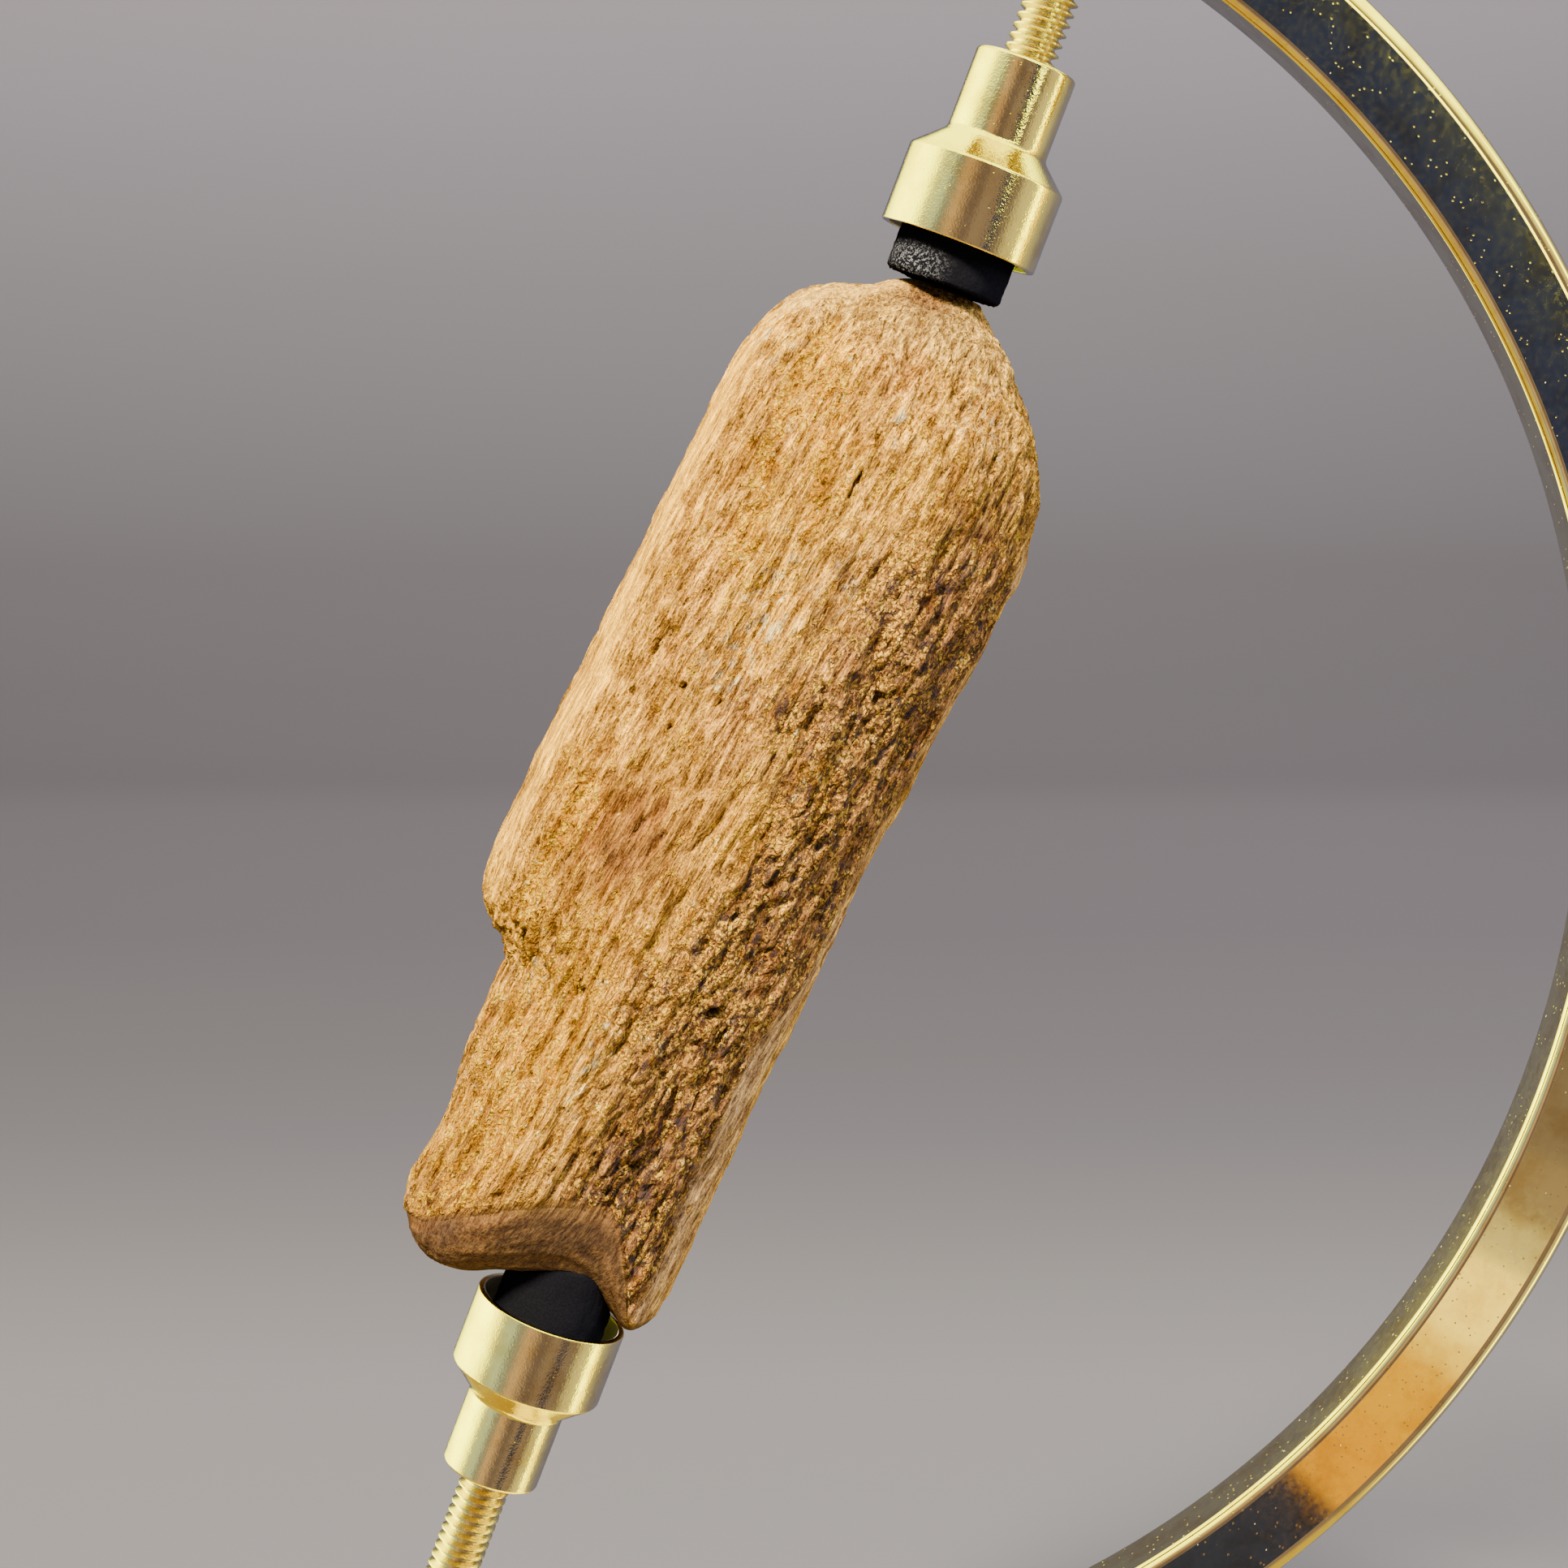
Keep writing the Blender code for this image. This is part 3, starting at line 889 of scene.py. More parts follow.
@dataclass(frozen=True)
class BoneTints:
    """The bone's colours."""

    tan: Colour = linear(204, 152, 58)
    pink: Colour = linear(192, 136, 76)
    margin: Colour = linear(222, 166, 60)
    ochre: Colour = linear(214, 144, 14)
    rust: Colour = linear(132, 86, 44)
    sponge: Colour = linear(166, 116, 74)
    # Dark brown for hollows and pits: partly their darker fill, partly painted shade in them.
    gap: Colour = linear(68, 45, 34)
    # The colour of the painted shade and shadows laid by the shadows and pad_shade patches.
    dark: Colour = linear(100, 68, 50)
    strip: Colour = linear(204, 164, 126)
    nub: Colour = linear(190, 152, 86)
    mineral: Colour = linear(218, 204, 170)
    # The broken end's own brown, painted darker still as shade, for the end face turns down away from the
    # light.
    fracture_and_shade: Colour = linear(68, 51, 45)


@dataclass(frozen=True)
class ReliefDepths:
    """How far each kind of relief rises or sinks, in millimetres."""

    broad: float = 0.35
    drawn_out: float = 0.45
    ridges: float = 0.32
    strands: float = 0.32
    fibres: float = 0.2
    hairs: float = 0.1
    gaps: float = 0.2
    flutes: float = 0.62
    facet: float = 0.55
    lumps: float = 0.22
    crumbs: float = 0.18
    voids: float = 0.34
    cracks: float = 0.12
    beads: float = 0.22
    lips: float = 0.08
    streaks: float = 0.12
    fine_streaks: float = 0.06


class Grain(Enum):
    """Noise fields that lie along the grain: feature size across, feature size along, and a shift."""

    WANDER = (2.2, 7.0, 4.0)
    BLOTCH = (3.4, 6.0, 9.0)
    SCATTER = (1.1, 2.4, 15.0)
    RIDGES = (1.5, 5.0, 13.0)
    STRANDS = (1.05, 7.0, 1.0)
    FIBRES = (0.62, 3.4, 2.0)
    HAIRS = (0.4, 1.7, 3.0)
    GAPS = (0.8, 3.2, 16.0)
    FLUTES = (1.25, 12.0, 5.0)
    BREAKS = (1.0, 2.4, 6.0)
    FACET = (1.0, 18.0, 7.0)
    LUMPS = (0.8, 1.5, 8.0)
    CRUMBS = (0.48, 0.7, 9.0)
    VOIDS = (0.75, 1.5, 18.0)
    BEADS = (0.35, 0.45, 11.0)
    RAGGED = (0.5, 0.7, 12.0)
    SPECKS = (0.45, 0.9, 14.0)


@dataclass
class Spot:
    """A point of the bare skin; what lies there is given in shares, 0 to 1, and height in millimetres."""

    u: float
    v: float
    s: float
    end: float
    margin: float = 0.0
    crown: float = 0.0
    strip: float = 0.0
    sponge: float = 0.0
    flute: float = 0.0
    facet: float = 0.0
    smooth: float = 0.0
    ochre: float = 0.0
    hollow: float = 0.0
    deep: float = 0.0
    streak: float = 0.0
    height: float = 0.0

    def __post_init__(self) -> None:
        """Find the point along the grain and tell the front from the back."""
        self.across_grain, self.along_grain = grain_axes(self.u, self.s)
        self.front = ease(self.v, 0.5, -3.5)
        self.back = 1.0 - self.front
        self.wander = self.read(Grain.WANDER)
        self.blotch = self.read(Grain.BLOTCH)

    def read(self, grain: Grain) -> float:
        """Return a noise field at this point, about -1 to 1."""
        return ripple(self.across_grain, self.v, self.along_grain, *grain.value)

    def carve(self, depth: float, hollow: float) -> None:
        """Lower the skin here, and show it at least so hollow."""
        self.height -= depth
        self.hollow = max(self.hollow, hollow)


@dataclass
class FossilBone:
    """The fossil limb bone fragment, one skin from its knobbed top to its scooped lower end."""

    left_edge: Curve = Curve((
        (44.0, -2.6), (43.4, -3.9), (42.7, -5.0), (41.6, -7.8), (40.4, -9.8), (38.5, -11.3), (36.1, -12.3),
        (32.4, -12.9), (28.7, -13.3), (22.5, -14.1), (13.2, -15.1), (3.7, -16.1), (-5.8, -16.95),
        (-9.0, -17.1), (-11.0, -16.9), (-12.2, -16.45), (-13.6, -15.4), (-14.9, -14.05), (-15.6, -13.4),
        (-17.0, -13.2), (-22.0, -13.5), (-25.3, -13.55), (-28.6, -13.3), (-31.9, -13.55), (-34.5, -14.15),
        (-37.1, -13.9), (-38.8, -13.2), (-40.2, -12.4),
    ))
    right_edge: Curve = Curve((
        (44.0, 3.2), (42.7, 4.6), (41.0, 6.35), (38.6, 8.6), (36.1, 10.5), (33.7, 12.1), (31.2, 12.95),
        (28.7, 13.2), (26.6, 13.65), (25.2, 13.65), (23.6, 13.25), (19.4, 13.0), (10.0, 11.75),
        (0.4, 10.6), (-9.3, 10.25), (-16.0, 9.65), (-25.6, 8.95), (-33.5, 8.55), (-38.5, 8.1), (-40.2, 7.7),
    ))
    crest: Curve = Curve((
        (44.0, 0.3), (38.0, 1.0), (28.0, 1.6), (10.0, 0.0), (-5.0, -2.2), (-14.0, -3.6), (-30.0, -6.4),
        (-40.0, -7.6),
    ))
    front_height: Curve = Curve((
        (44.0, 2.0), (42.8, 3.5), (41.4, 4.9), (39.5, 6.2), (36.0, 7.5), (30.0, 8.4), (5.0, 9.1),
        (-15.0, 9.0), (-40.0, 8.5),
    ))
    back_height: Curve = Curve((
        (44.0, 2.0), (42.6, 3.6), (41.0, 5.1), (38.0, 6.7), (32.0, 7.9), (18.0, 8.5), (-10.0, 8.2),
        (-40.0, 7.5),
    ))
    left_squareness: Curve = Curve((
        (44.0, 2.0), (30.0, 2.5), (5.0, 2.3), (-12.0, 1.75), (-30.0, 1.5), (-40.0, 1.5),
    ))
    right_squareness: Curve = Curve(((44.0, 2.0), (30.0, 2.0), (5.0, 1.9), (-15.0, 1.75), (-40.0, 1.7)))
    back_squareness: float = 2.25
    scoop_rim: Curve = Curve((
        (-13.6, -38.4), (-12.4, -37.4), (-9.3, -34.4), (-6.1, -32.4), (-2.4, -30.9), (0.4, -30.7),
        (2.1, -31.4), (3.4, -33.7), (4.7, -36.6), (6.0, -39.8), (8.4, -38.8),
    ))
    lower_edge: Curve = Curve((
        (-13.8, -38.0), (-12.8, -40.0), (-11.7, -41.0), (-10.3, -41.45), (-8.0, -40.9), (-4.7, -39.7),
        (-0.8, -39.0), (2.0, -39.5), (4.3, -40.7), (6.2, -41.45), (7.4, -40.8), (8.4, -39.0),
    ))
    scoop_depth: float = 2.4
    rim_rounding: float = 0.55
    top: float = 44.0
    top_middle: float = 0.3
    top_rise: float = 0.25
    turn: float = -26.0
    turn_share: float = 0.78
    turn_power: float = 1.25
    columns: int = 252
    cap_rows: int = 12
    side_rows: int = 328
    rounding_rows: int = 4
    end_rows: int = 34
    front_weight: float = 1.6
    ring_samples: int = 144
    side_samples: int = 500

    layer_step: float = 0.5
    layer_softness: float = 0.5
    layer_wander: float = 0.6
    layer_edge: Curve = Curve(((-18.0, -14.2), (-14.0, -13.6), (-10.0, -10.5), (-6.0, -5.5), (-3.0, -2.0)))
    sponge_edge: Curve = Curve((
        (42.0, 5.5), (39.5, 4.8), (36.8, 4.3), (32.7, 4.6), (28.9, 5.0), (24.3, 3.0), (22.6, 1.4),
        (15.7, 0.6), (11.0, -1.2), (6.7, 1.7), (0.3, 0.6), (-7.5, -1.2), (-11.7, -2.5), (-18.0, -3.3),
        (-23.7, -2.3), (-27.7, -3.8), (-36.0, -4.0),
    ))
    strip_edge: Curve = Curve((
        (34.0, 12.6), (25.0, 13.2), (16.8, 12.2), (9.1, 11.2), (-0.1, 10.1), (-7.1, 9.6), (-12.0, 8.4),
        (-17.7, 7.5), (-22.9, 7.1), (-28.4, 6.8), (-34.0, 6.5),
    ))
    keel: Curve = Curve((
        (-6.0, -3.4), (-8.8, -3.6), (-12.8, -3.7), (-18.1, -4.1), (-22.2, -5.4), (-28.1, -6.8),
        (-32.1, -8.1), (-36.0, -9.6),
    ))
    pits: tuple[Pit, ...] = (
        Pit(3.4, -13.2, 0.5, 0.65, 1.4), Pit(4.6, -14.9, 0.22, 0.8, 0.8), Pit(2.0, -26.7, 0.42, 0.6, 1.0),
        Pit(6.4, 13.9, 0.4, 0.5, 1.0), Pit(6.3, 2.0, 0.26, 0.8, 0.9), Pit(6.5, -19.2, 0.28, 0.5, 0.8),
        Pit(6.5, -21.8, 0.28, 0.6, 0.8), Pit(-7.8, 9.7, 0.26, 0.32, 0.7), Pit(-4.9, 9.5, 0.2, 0.28, 0.6),
        Pit(-7.8, 6.4, 0.22, 0.36, 0.6), Pit(-11.3, 7.9, 0.18, 0.3, 0.5), Pit(-10.7, 12.4, 0.2, 1.3, 1.2),
        Pit(-9.9, 13.0, 0.12, 0.8, 0.4), Pit(-1.2, 28.1, 0.16, 1.6, 0.6), Pit(-0.9, 31.9, 0.16, 0.25, 0.5),
        Pit(-11.3, -20.0, 0.2, 0.36, 0.5), Pit(-8.6, -22.5, 0.2, 0.34, 0.5), Pit(-6.8, -17.4, 0.2, 0.3, 0.4),
        Pit(-6.9, -14.8, 0.2, 0.42, 0.4), Pit(-9.5, -32.7, 0.2, 0.4, 0.4),
    )
    grooves: tuple[Groove, ...] = (
        Groove(((-7.1, 38.8), (-8.1, 36.0), (-8.1, 32.1), (-8.1, 28.6), (-7.8, 25.5)), 0.75, 0.42, 0.9),
        Groove(((-4.6, 35.1), (-4.1, 29.9), (-2.9, 24.0)), 0.6, 0.32, 0.7),
        Groove(((-3.5, 38.1), (-1.5, 36.8), (-2.5, 31.6), (-2.5, 24.0)), 0.7, -0.25),
        Groove(
            ((-3.6, -8.8), (-3.7, -12.8), (-4.1, -18.1), (-5.4, -22.2), (-6.8, -28.1), (-8.1, -32.1)),
            0.8,
            -0.4,
        ),
        Groove(((-12.1, 0.0), (-12.6, -4.0), (-13.4, -9.5), (-13.5, -11.9)), 0.8, 0.25, 0.9),
    )
    swellings: tuple[Patch, ...] = patches(
        (-7.0, 33.0, 2.2, 7.5, -0.7), (-13.0, 30.0, 2.5, 12.0, 0.35), (-2.2, 30.0, 1.8, 8.0, 0.45),
        (3.9, 37.0, 1.6, 2.4, -0.4), (6.5, 33.0, 3.0, 5.0, 0.5), (0.5, 14.0, 2.6, 11.0, 0.45),
        (-5.5, 6.0, 2.0, 9.0, -0.45), (7.0, 12.0, 3.0, 10.0, -0.4), (4.0, -9.0, 3.5, 8.0, -0.55),
        (-9.0, -22.0, 2.0, 9.0, -0.45), (2.5, -24.0, 3.5, 9.0, -0.5), (6.0, 41.0, 2.2, 1.6, 0.5),
        (-5.8, 41.0, 1.6, 1.4, -0.5),
    )
    ochres: tuple[Patch, ...] = patches(
        (-7.5, 21.2, 1.6, 2.6, 0.8), (-12.0, -1.5, 1.6, 3.6, 0.9), (-13.0, -9.5, 1.2, 3.0, 0.7),
        (0.6, 9.8, 1.8, 2.4, 0.6), (6.9, 12.6, 1.8, 3.4, 0.6), (0.4, -12.5, 3.6, 6.0, 0.95),
        (-6.4, -9.8, 2.4, 3.0, 0.5), (3.0, 2.0, 3.0, 6.0, 0.35), (-9.8, -24.0, 2.6, 8.0, 0.55),
        (0.4, -13.2, 2.6, 3.6, 1.0), (-2.9, -10.2, 1.6, 2.4, 0.7), (2.6, -8.0, 1.6, 4.0, 0.7),
        (5.4, 17.0, 1.4, 3.6, 0.9), (5.0, 5.7, 1.6, 3.0, 0.9), (4.8, 24.0, 1.4, 3.0, 0.7),
        (-13.4, 0.0, 1.2, 3.6, 0.8), (-7.2, 23.5, 1.0, 4.0, 0.9), (-1.8, 28.4, 0.7, 2.4, 0.8),
        (-6.0, 34.4, 1.6, 3.0, 0.8),
    )
    minerals: tuple[Patch, ...] = patches(
        (-8.0, 30.6, 0.8, 1.6, 0.6), (0.4, 33.6, 0.9, 1.4, 0.6), (1.0, 31.0, 0.8, 1.6, 0.5),
        (0.6, 21.8, 1.0, 2.2, 0.7), (-3.8, 17.0, 2.2, 4.6, 0.6), (-5.4, 12.6, 1.4, 2.6, 0.6),
        (-4.4, -18.4, 0.9, 5.0, 0.8), (-11.0, -15.6, 2.0, 2.4, 0.6), (-10.5, 37.5, 1.8, 2.6, 0.5),
        (6.8, 36.0, 2.4, 2.4, 0.45),
    )
    pinks: tuple[Patch, ...] = patches(
        (-3.0, 8.5, 2.4, 4.5, 0.7), (-1.0, 37.0, 2.6, 3.6, 0.5), (-9.5, 17.0, 2.0, 8.0, 0.4)
    )
    shadows: tuple[Patch, ...] = patches(
        (3.5, -28.0, 5.5, 8.5, 1.0), (9.0, 14.0, 3.0, 12.0, 0.5), (7.4, 28.0, 2.6, 5.0, 0.5),
        (-12.0, -35.6, 3.4, 4.0, 0.95), (0.4, 42.4, 3.0, 1.8, 1.0), (-8.2, 32.0, 1.6, 5.0, 0.6),
        (-6.9, -3.4, 2.4, 4.0, 0.35), (-5.8, -34.5, 5.0, 2.4, 0.5), (10.0, 28.6, 1.8, 3.0, 0.5),
        (-11.6, -30.6, 1.4, 3.0, 0.4), (-2.6, 4.6, 1.4, 4.0, 0.3),
    )
    flutes: Patch = Patch(-8.0, -2.4, 4.2, 5.4, 1.25)
    # Painted shadow of the upper pad on the nub.
    pad_shade: Patch = Patch(-0.9, 43.0, 2.6, 1.5, 0.95)
    tints: BoneTints = BoneTints()
    depths: ReliefDepths = ReliefDepths()
    least_share: float = 0.02
    end_below: float = -28.0
    calm_above: float = 44.6
    calm_length: float = 4.0
    deepest: float = -2.2
    crack_size: float = 1.1

    # ---- the bare form

    def half_section(self, s: float, right: bool) -> Pair:
        """Measure one half of the section at a height.

        Args:
            s: height along the clamp axis.
            right: whether the half to the right of the crest is meant.

        Returns:
            How far it reaches from the crest, and its squareness.
        """
        if right:
            return self.right_edge.at(s) - self.crest.at(s), self.right_squareness.at(s)
        return self.crest.at(s) - self.left_edge.at(s), self.left_squareness.at(s)

    def section_point(self, angle: float, s: float) -> Pair:
        """Find a point of the section at a height.

        Args:
            angle: 0 at the right edge, a quarter turn at the front.
            s: height along the clamp axis.

        Returns:
            (u, v).
        """
        across = math.cos(angle)
        ahead = math.sin(angle)
        reach, squareness = self.half_section(s, across >= 0.0)
        if ahead < 0.0:
            squareness = self.back_squareness
        height = (self.back_height if ahead < 0.0 else self.front_height).at(s)
        power = 2.0 / squareness
        u = self.crest.at(s) + math.copysign(reach * abs(across) ** power, across)
        return u, -math.copysign(height * abs(ahead) ** power, ahead)

    def front_surface(self, u: float, s: float) -> float:
        """Find the smooth front surface.

        Args:
            u: place across.
            s: place along.

        Returns:
            Its v there.
        """
        crest = self.crest.at(s)
        reach, squareness = self.half_section(s, u >= crest)
        share = min(abs(u - crest) / reach, 1.0)
        return -self.front_height.at(s) * (1.0 - share**squareness) ** (1.0 / squareness)

    def lower_end(self, u: float, v: float) -> float:
        """Find the broken lower end.

        Args:
            u: place across.
            v: depth.

        Returns:
            Its s there.
        """
        edge = self.lower_edge.at(u)
        rim = self.scoop_rim.at(u)
        behind_rim = max(v - self.front_surface(u, rim), 0.0)
        return edge + (rim - edge) * math.exp(-behind_rim / self.scoop_depth)

    def side_point(self, angle: float, share: float) -> Vector:
        """Find a point of the bare side.

        Args:
            angle: 0 at the right edge, a quarter turn at the front.
            share: 0 at the top, 1 at the lower rim.

        Returns:
            (u, v, s).
        """
        if share < self.turn_share:
            s = self.top + (self.turn - self.top) * (share / self.turn_share) ** self.turn_power
        else:
            s = self.turn
            down = (share - self.turn_share) / (1.0 - self.turn_share)
            for _ in range(4):
                u, v = self.section_point(angle, s)
                s = self.turn + (self.lower_end(u, v) + self.rim_rounding - self.turn) * down
        u, v = self.section_point(angle, s)
        return Vector((u, v, s))

    def even_shares(self) -> list[float]:
        """Space the side rows evenly on the skin.

        Returns:
            The share of each row, 0 at the top and 1 at the lower rim.
        """
        count = self.side_samples
        angles = (0.0, math.pi / 2.0, math.pi * 0.8, math.pi)
        lengths = [0.0]
        before = [self.side_point(angle, 0.0) for angle in angles]
        for index in range(1, count + 1):
            here = [self.side_point(angle, index / count) for angle in angles]
            lengths.append(lengths[-1] + sum((a - b).length for a, b in zip(here, before)))
            before = here
        return [place / count for place in divide_evenly(lengths, self.side_rows)]

    def side_ring(self, share: float) -> list[Vector]:
        """Draw one row of the side, its points closer together on the front.

        Args:
            share: 0 at the top, 1 at the lower rim.

        Returns:
            The row's points, the first repeated at the end.
        """
        count = self.ring_samples
        lengths = [0.0]
        before = self.side_point(0.0, share)
        for index in range(1, count + 1):
            here = self.side_point(FULL_TURN * index / count, share)
            weight = 1.0 + (self.front_weight - 1.0) * ease(here.y, 3.0, -3.0)
            lengths.append(lengths[-1] + (here - before).length * weight)
            before = here
        places = divide_evenly(lengths, self.columns)[:-1]
        ring = [self.side_point(FULL_TURN * place / count, share) for place in places]
        return [*ring, ring[0].copy()]

    def rows(self) -> list[list[Vector]]:
        """Draw the skin, from the top pole over the side to the middle of the lower end.

        Returns:
            The rows, each a list of points.
        """
        side = [self.side_ring(share) for share in self.even_shares()]
        rows = []
        for index in range(self.cap_rows):
            scale = index / self.cap_rows
            s = self.top + self.top_rise * (1.0 - scale * scale)
            middle = self.top_middle
            rows.append([Vector((middle + (p.x - middle) * scale, p.y * scale, s)) for p in side[0]])
        rows += side
        last = side[-1]
        middle = sum(last[:-1], Vector()) / self.columns
        for index in range(1, self.rounding_rows + 1):
            angle = math.pi / 2.0 * index / self.rounding_rows
            ring = []
            for point in last:
                inward = Vector((middle.x - point.x, middle.y - point.y, 0.0)).normalized()
                u, v, _ = point + inward * self.rim_rounding * (1.0 - math.cos(angle))
                s = self.lower_end(u, v) + self.rim_rounding * (1.0 - math.sin(angle))
                ring.append(Vector((u, v, s)))
            rows.append(ring)
        rim = rows[-1]
        for index in range(1, self.end_rows + 1):
            scale = 1.0 - index / self.end_rows
            ring = []
            for point in rim:
                u = middle.x + (point.x - middle.x) * scale
                v = middle.y + (point.y - middle.y) * scale
                ring.append(Vector((u, v, self.lower_end(u, v))))
            rows.append(ring)
        return rows

    def bare_skin(self) -> bmesh.types.BMesh:
        """Roll a grid round the rows and sew it at its seam and its poles.

        Returns:
            The bare form.
        """
        rows = self.rows()
        last = len(rows) - 1
        bm = bmesh.new()
        bmesh.ops.create_grid(bm, x_segments=self.columns, y_segments=last, size=1.0)
        for vert in bm.verts:
            column = round((vert.co.x + 1.0) / 2.0 * self.columns)
            row = round((vert.co.y + 1.0) / 2.0 * last)
            vert.co = rows[row][column]
        bmesh.ops.remove_doubles(bm, verts=bm.verts, dist=MERGE_DISTANCE)
        bmesh.ops.recalc_face_normals(bm, faces=bm.faces)
        bm.normal_update()
        return bm

    # ---- relief and colour

    def survey(self, u: float, v: float, s: float) -> Spot:
        """Find where each kind of surface lies.

        Args:
            u: place across.
            v: depth.
            s: place along.

        Returns:
            The point of the bare form, with its shares.
        """
        end = ease(s - self.lower_end(u, v), 0.5, 0.05) if s < self.end_below else 0.0
        spot = Spot(u, v, s, end)
        front, wander = spot.front, spot.wander
        left = u - self.left_edge.at(s)
        margin = ease(left + 0.4 * wander, 2.5, 0.9) * ease(s, -15.5, -12.5) * (0.35 + 0.65 * front)
        crown = ease(s, 37.0, 40.5)
        past_line = u - self.sponge_edge.at(s)
        sponge_front = ease(past_line + 2.6 * wander + 1.6 * spot.read(Grain.SCATTER), -4.0, 4.0)
        sponge_front *= 1.0 - 0.55 * ease(s, 22.0, 31.0) - 0.2 * ease(s, 31.0, 38.0)
        strip = ease(u - self.strip_edge.at(s) + 0.4 * wander, -0.5, 0.4) * ease(s, 33.0, 26.0)
        sponge = sponge_front * front * (1.0 - 0.75 * strip)
        sponge = max(sponge, spot.back * ease(spot.blotch + 0.35 * wander, 0.05, 0.5) * 0.8)
        sponge *= (1.0 - end) * (1.0 - 0.8 * margin)
        flute = clamp01(self.flutes.at(u, s)) * front * (1.0 - margin)
        spot.margin, spot.crown, spot.strip, spot.sponge, spot.flute = margin, crown, strip, sponge, flute
        spot.facet = ease(u - self.keel.at(s), 0.6, -0.8) * ease(s, -8.0, -15.0) * front
        spot.smooth = clamp01(margin * 0.75 + 0.25 * crown + end + 0.4 * strip + 0.35 * flute)
        return spot

    def swell(self, spot: Spot) -> None:
        """Raise the broad forms and the step across the left edge.

        Args:
            spot: the point, whose height is changed.
        """
        u, v, s, depths = spot.u, spot.v, spot.s, self.depths
        for swelling in self.swellings:
            spot.height += swelling.at(u, s) * spot.front
        step_line = self.layer_edge.at(u) + self.layer_wander * ripple(u, 0.0, s, 1.4, 3.0, 2.0)
        above = max(min((s - step_line) / self.layer_softness, 30.0), -30.0)
        below_step = 1.0 / (1.0 + math.exp(above))
        spot.height -= self.layer_step * below_step * ease(u, -8.0, -13.0) * spot.front
        edge_calm = 0.25 + 0.75 * min(abs(v) / 4.0, 1.0)
        spot.height += depths.broad * ripple(u, v, s, 6.0, 11.0) * edge_calm
        drawn_out = noise.noise(Vector((u / 2.6 + 7.3, v / 2.6, s / 12.0)))
        spot.height += depths.drawn_out * drawn_out * edge_calm
        uneven = 1.0 - 0.8 * clamp01(spot.margin + spot.crown)
        spot.height += depths.ridges * spot.read(Grain.RIDGES) * edge_calm * uneven

    def roughen(self, spot: Spot) -> None:
        """Lay the fibres, flutes, open cells and fine cracks.

        Args:
            spot: the point, whose height and hollowness are changed.
        """
        depths = self.depths
        rough = 1.0 - 0.85 * spot.smooth
        strands, fibres, hairs = (spot.read(grain) for grain in (Grain.STRANDS, Grain.FIBRES, Grain.HAIRS))
        gaps = ease(abs(spot.read(Grain.GAPS)), 0.16, 0.02)
        texture = depths.strands * strands + depths.fibres * fibres
        texture += depths.hairs * hairs
        texture -= depths.gaps * gaps
        spot.height += rough * (1.0 - 0.5 * spot.facet) * texture
        spot.hollow = rough * clamp01(0.5 * gaps - 0.9 * strands - 0.5 * fibres - 0.05)
        if spot.flute > self.least_share:
            cut = ease(abs(spot.read(Grain.FLUTES)), 0.34, 0.04)
            broken = ease(spot.read(Grain.BREAKS), -0.35, 0.25)
            spot.carve(depths.flutes * cut * broken * spot.flute, cut * broken * spot.flute)
        if spot.facet > self.least_share:
            cut = ease(abs(spot.read(Grain.FACET)), 0.3, 0.03)
            spot.carve(depths.facet * cut * spot.facet, 0.7 * cut * spot.facet)
        if spot.sponge > self.least_share:
            coarse = 0.55 + 0.45 * ease(spot.s, 34.0, 18.0)
            lump, crumb = spot.read(Grain.LUMPS), spot.read(Grain.CRUMBS)
            void = ease(spot.read(Grain.VOIDS), 0.3, 0.52)
            hollow = clamp01(void + 0.8 * clamp01(-lump - 0.15))
            texture = depths.lumps * lump + depths.crumbs * crumb - depths.voids * void
            spot.height += spot.sponge * coarse * texture
            spot.hollow = max(spot.hollow * (1.0 - 0.5 * spot.sponge), spot.sponge * hollow * coarse)
        if spot.crown > self.least_share:
            size = self.crack_size
            near, _ = noise.voronoi(Vector((spot.u / size, spot.v / size, spot.s / size)))
            crack = ease(near[1] - near[0], 0.12, 0.02)
            spot.carve(depths.cracks * crack * spot.crown, 0.6 * crack * spot.crown)

    def cut_marks(self, spot: Spot) -> None:
        """Cut the grooves, with beads of ochre in them, and the pits.

        Args:
            spot: the point, whose height, hollowness, ochre and depth in a pit are changed.
        """
        if spot.front <= 0.0:
            return
        for groove in self.grooves:
            if not groove.touches(spot.u, spot.s):
                continue
            near = math.exp(-((groove.distance(spot.u, spot.s) / groove.width) ** 2))
            spot.height -= groove.depth * near * spot.front
            if groove.ochre:
                beads = ease(spot.read(Grain.BEADS), 0.05, 0.45)
                spot.carve(self.depths.beads * beads * near, 0.75 * beads * near)
                spot.ochre = max(spot.ochre, groove.ochre * near)
        for pit in self.pits:
            across = spot.across_grain - pit.middle[0]
            along = spot.along_grain - pit.middle[1]
            if abs(across) < pit.reach * pit.across and abs(along) < pit.reach * pit.along:
                ragged = 1.0 + 0.35 * spot.read(Grain.RAGGED)
                distance = math.hypot(across / pit.across, along / pit.along) * ragged
                inside = ease(distance, 1.25, 0.55)
                lip = math.exp(-(((distance - 1.45) / 0.3) ** 2))
                spot.height += self.depths.lips * lip - pit.depth * inside
                spot.deep = max(spot.deep, inside)

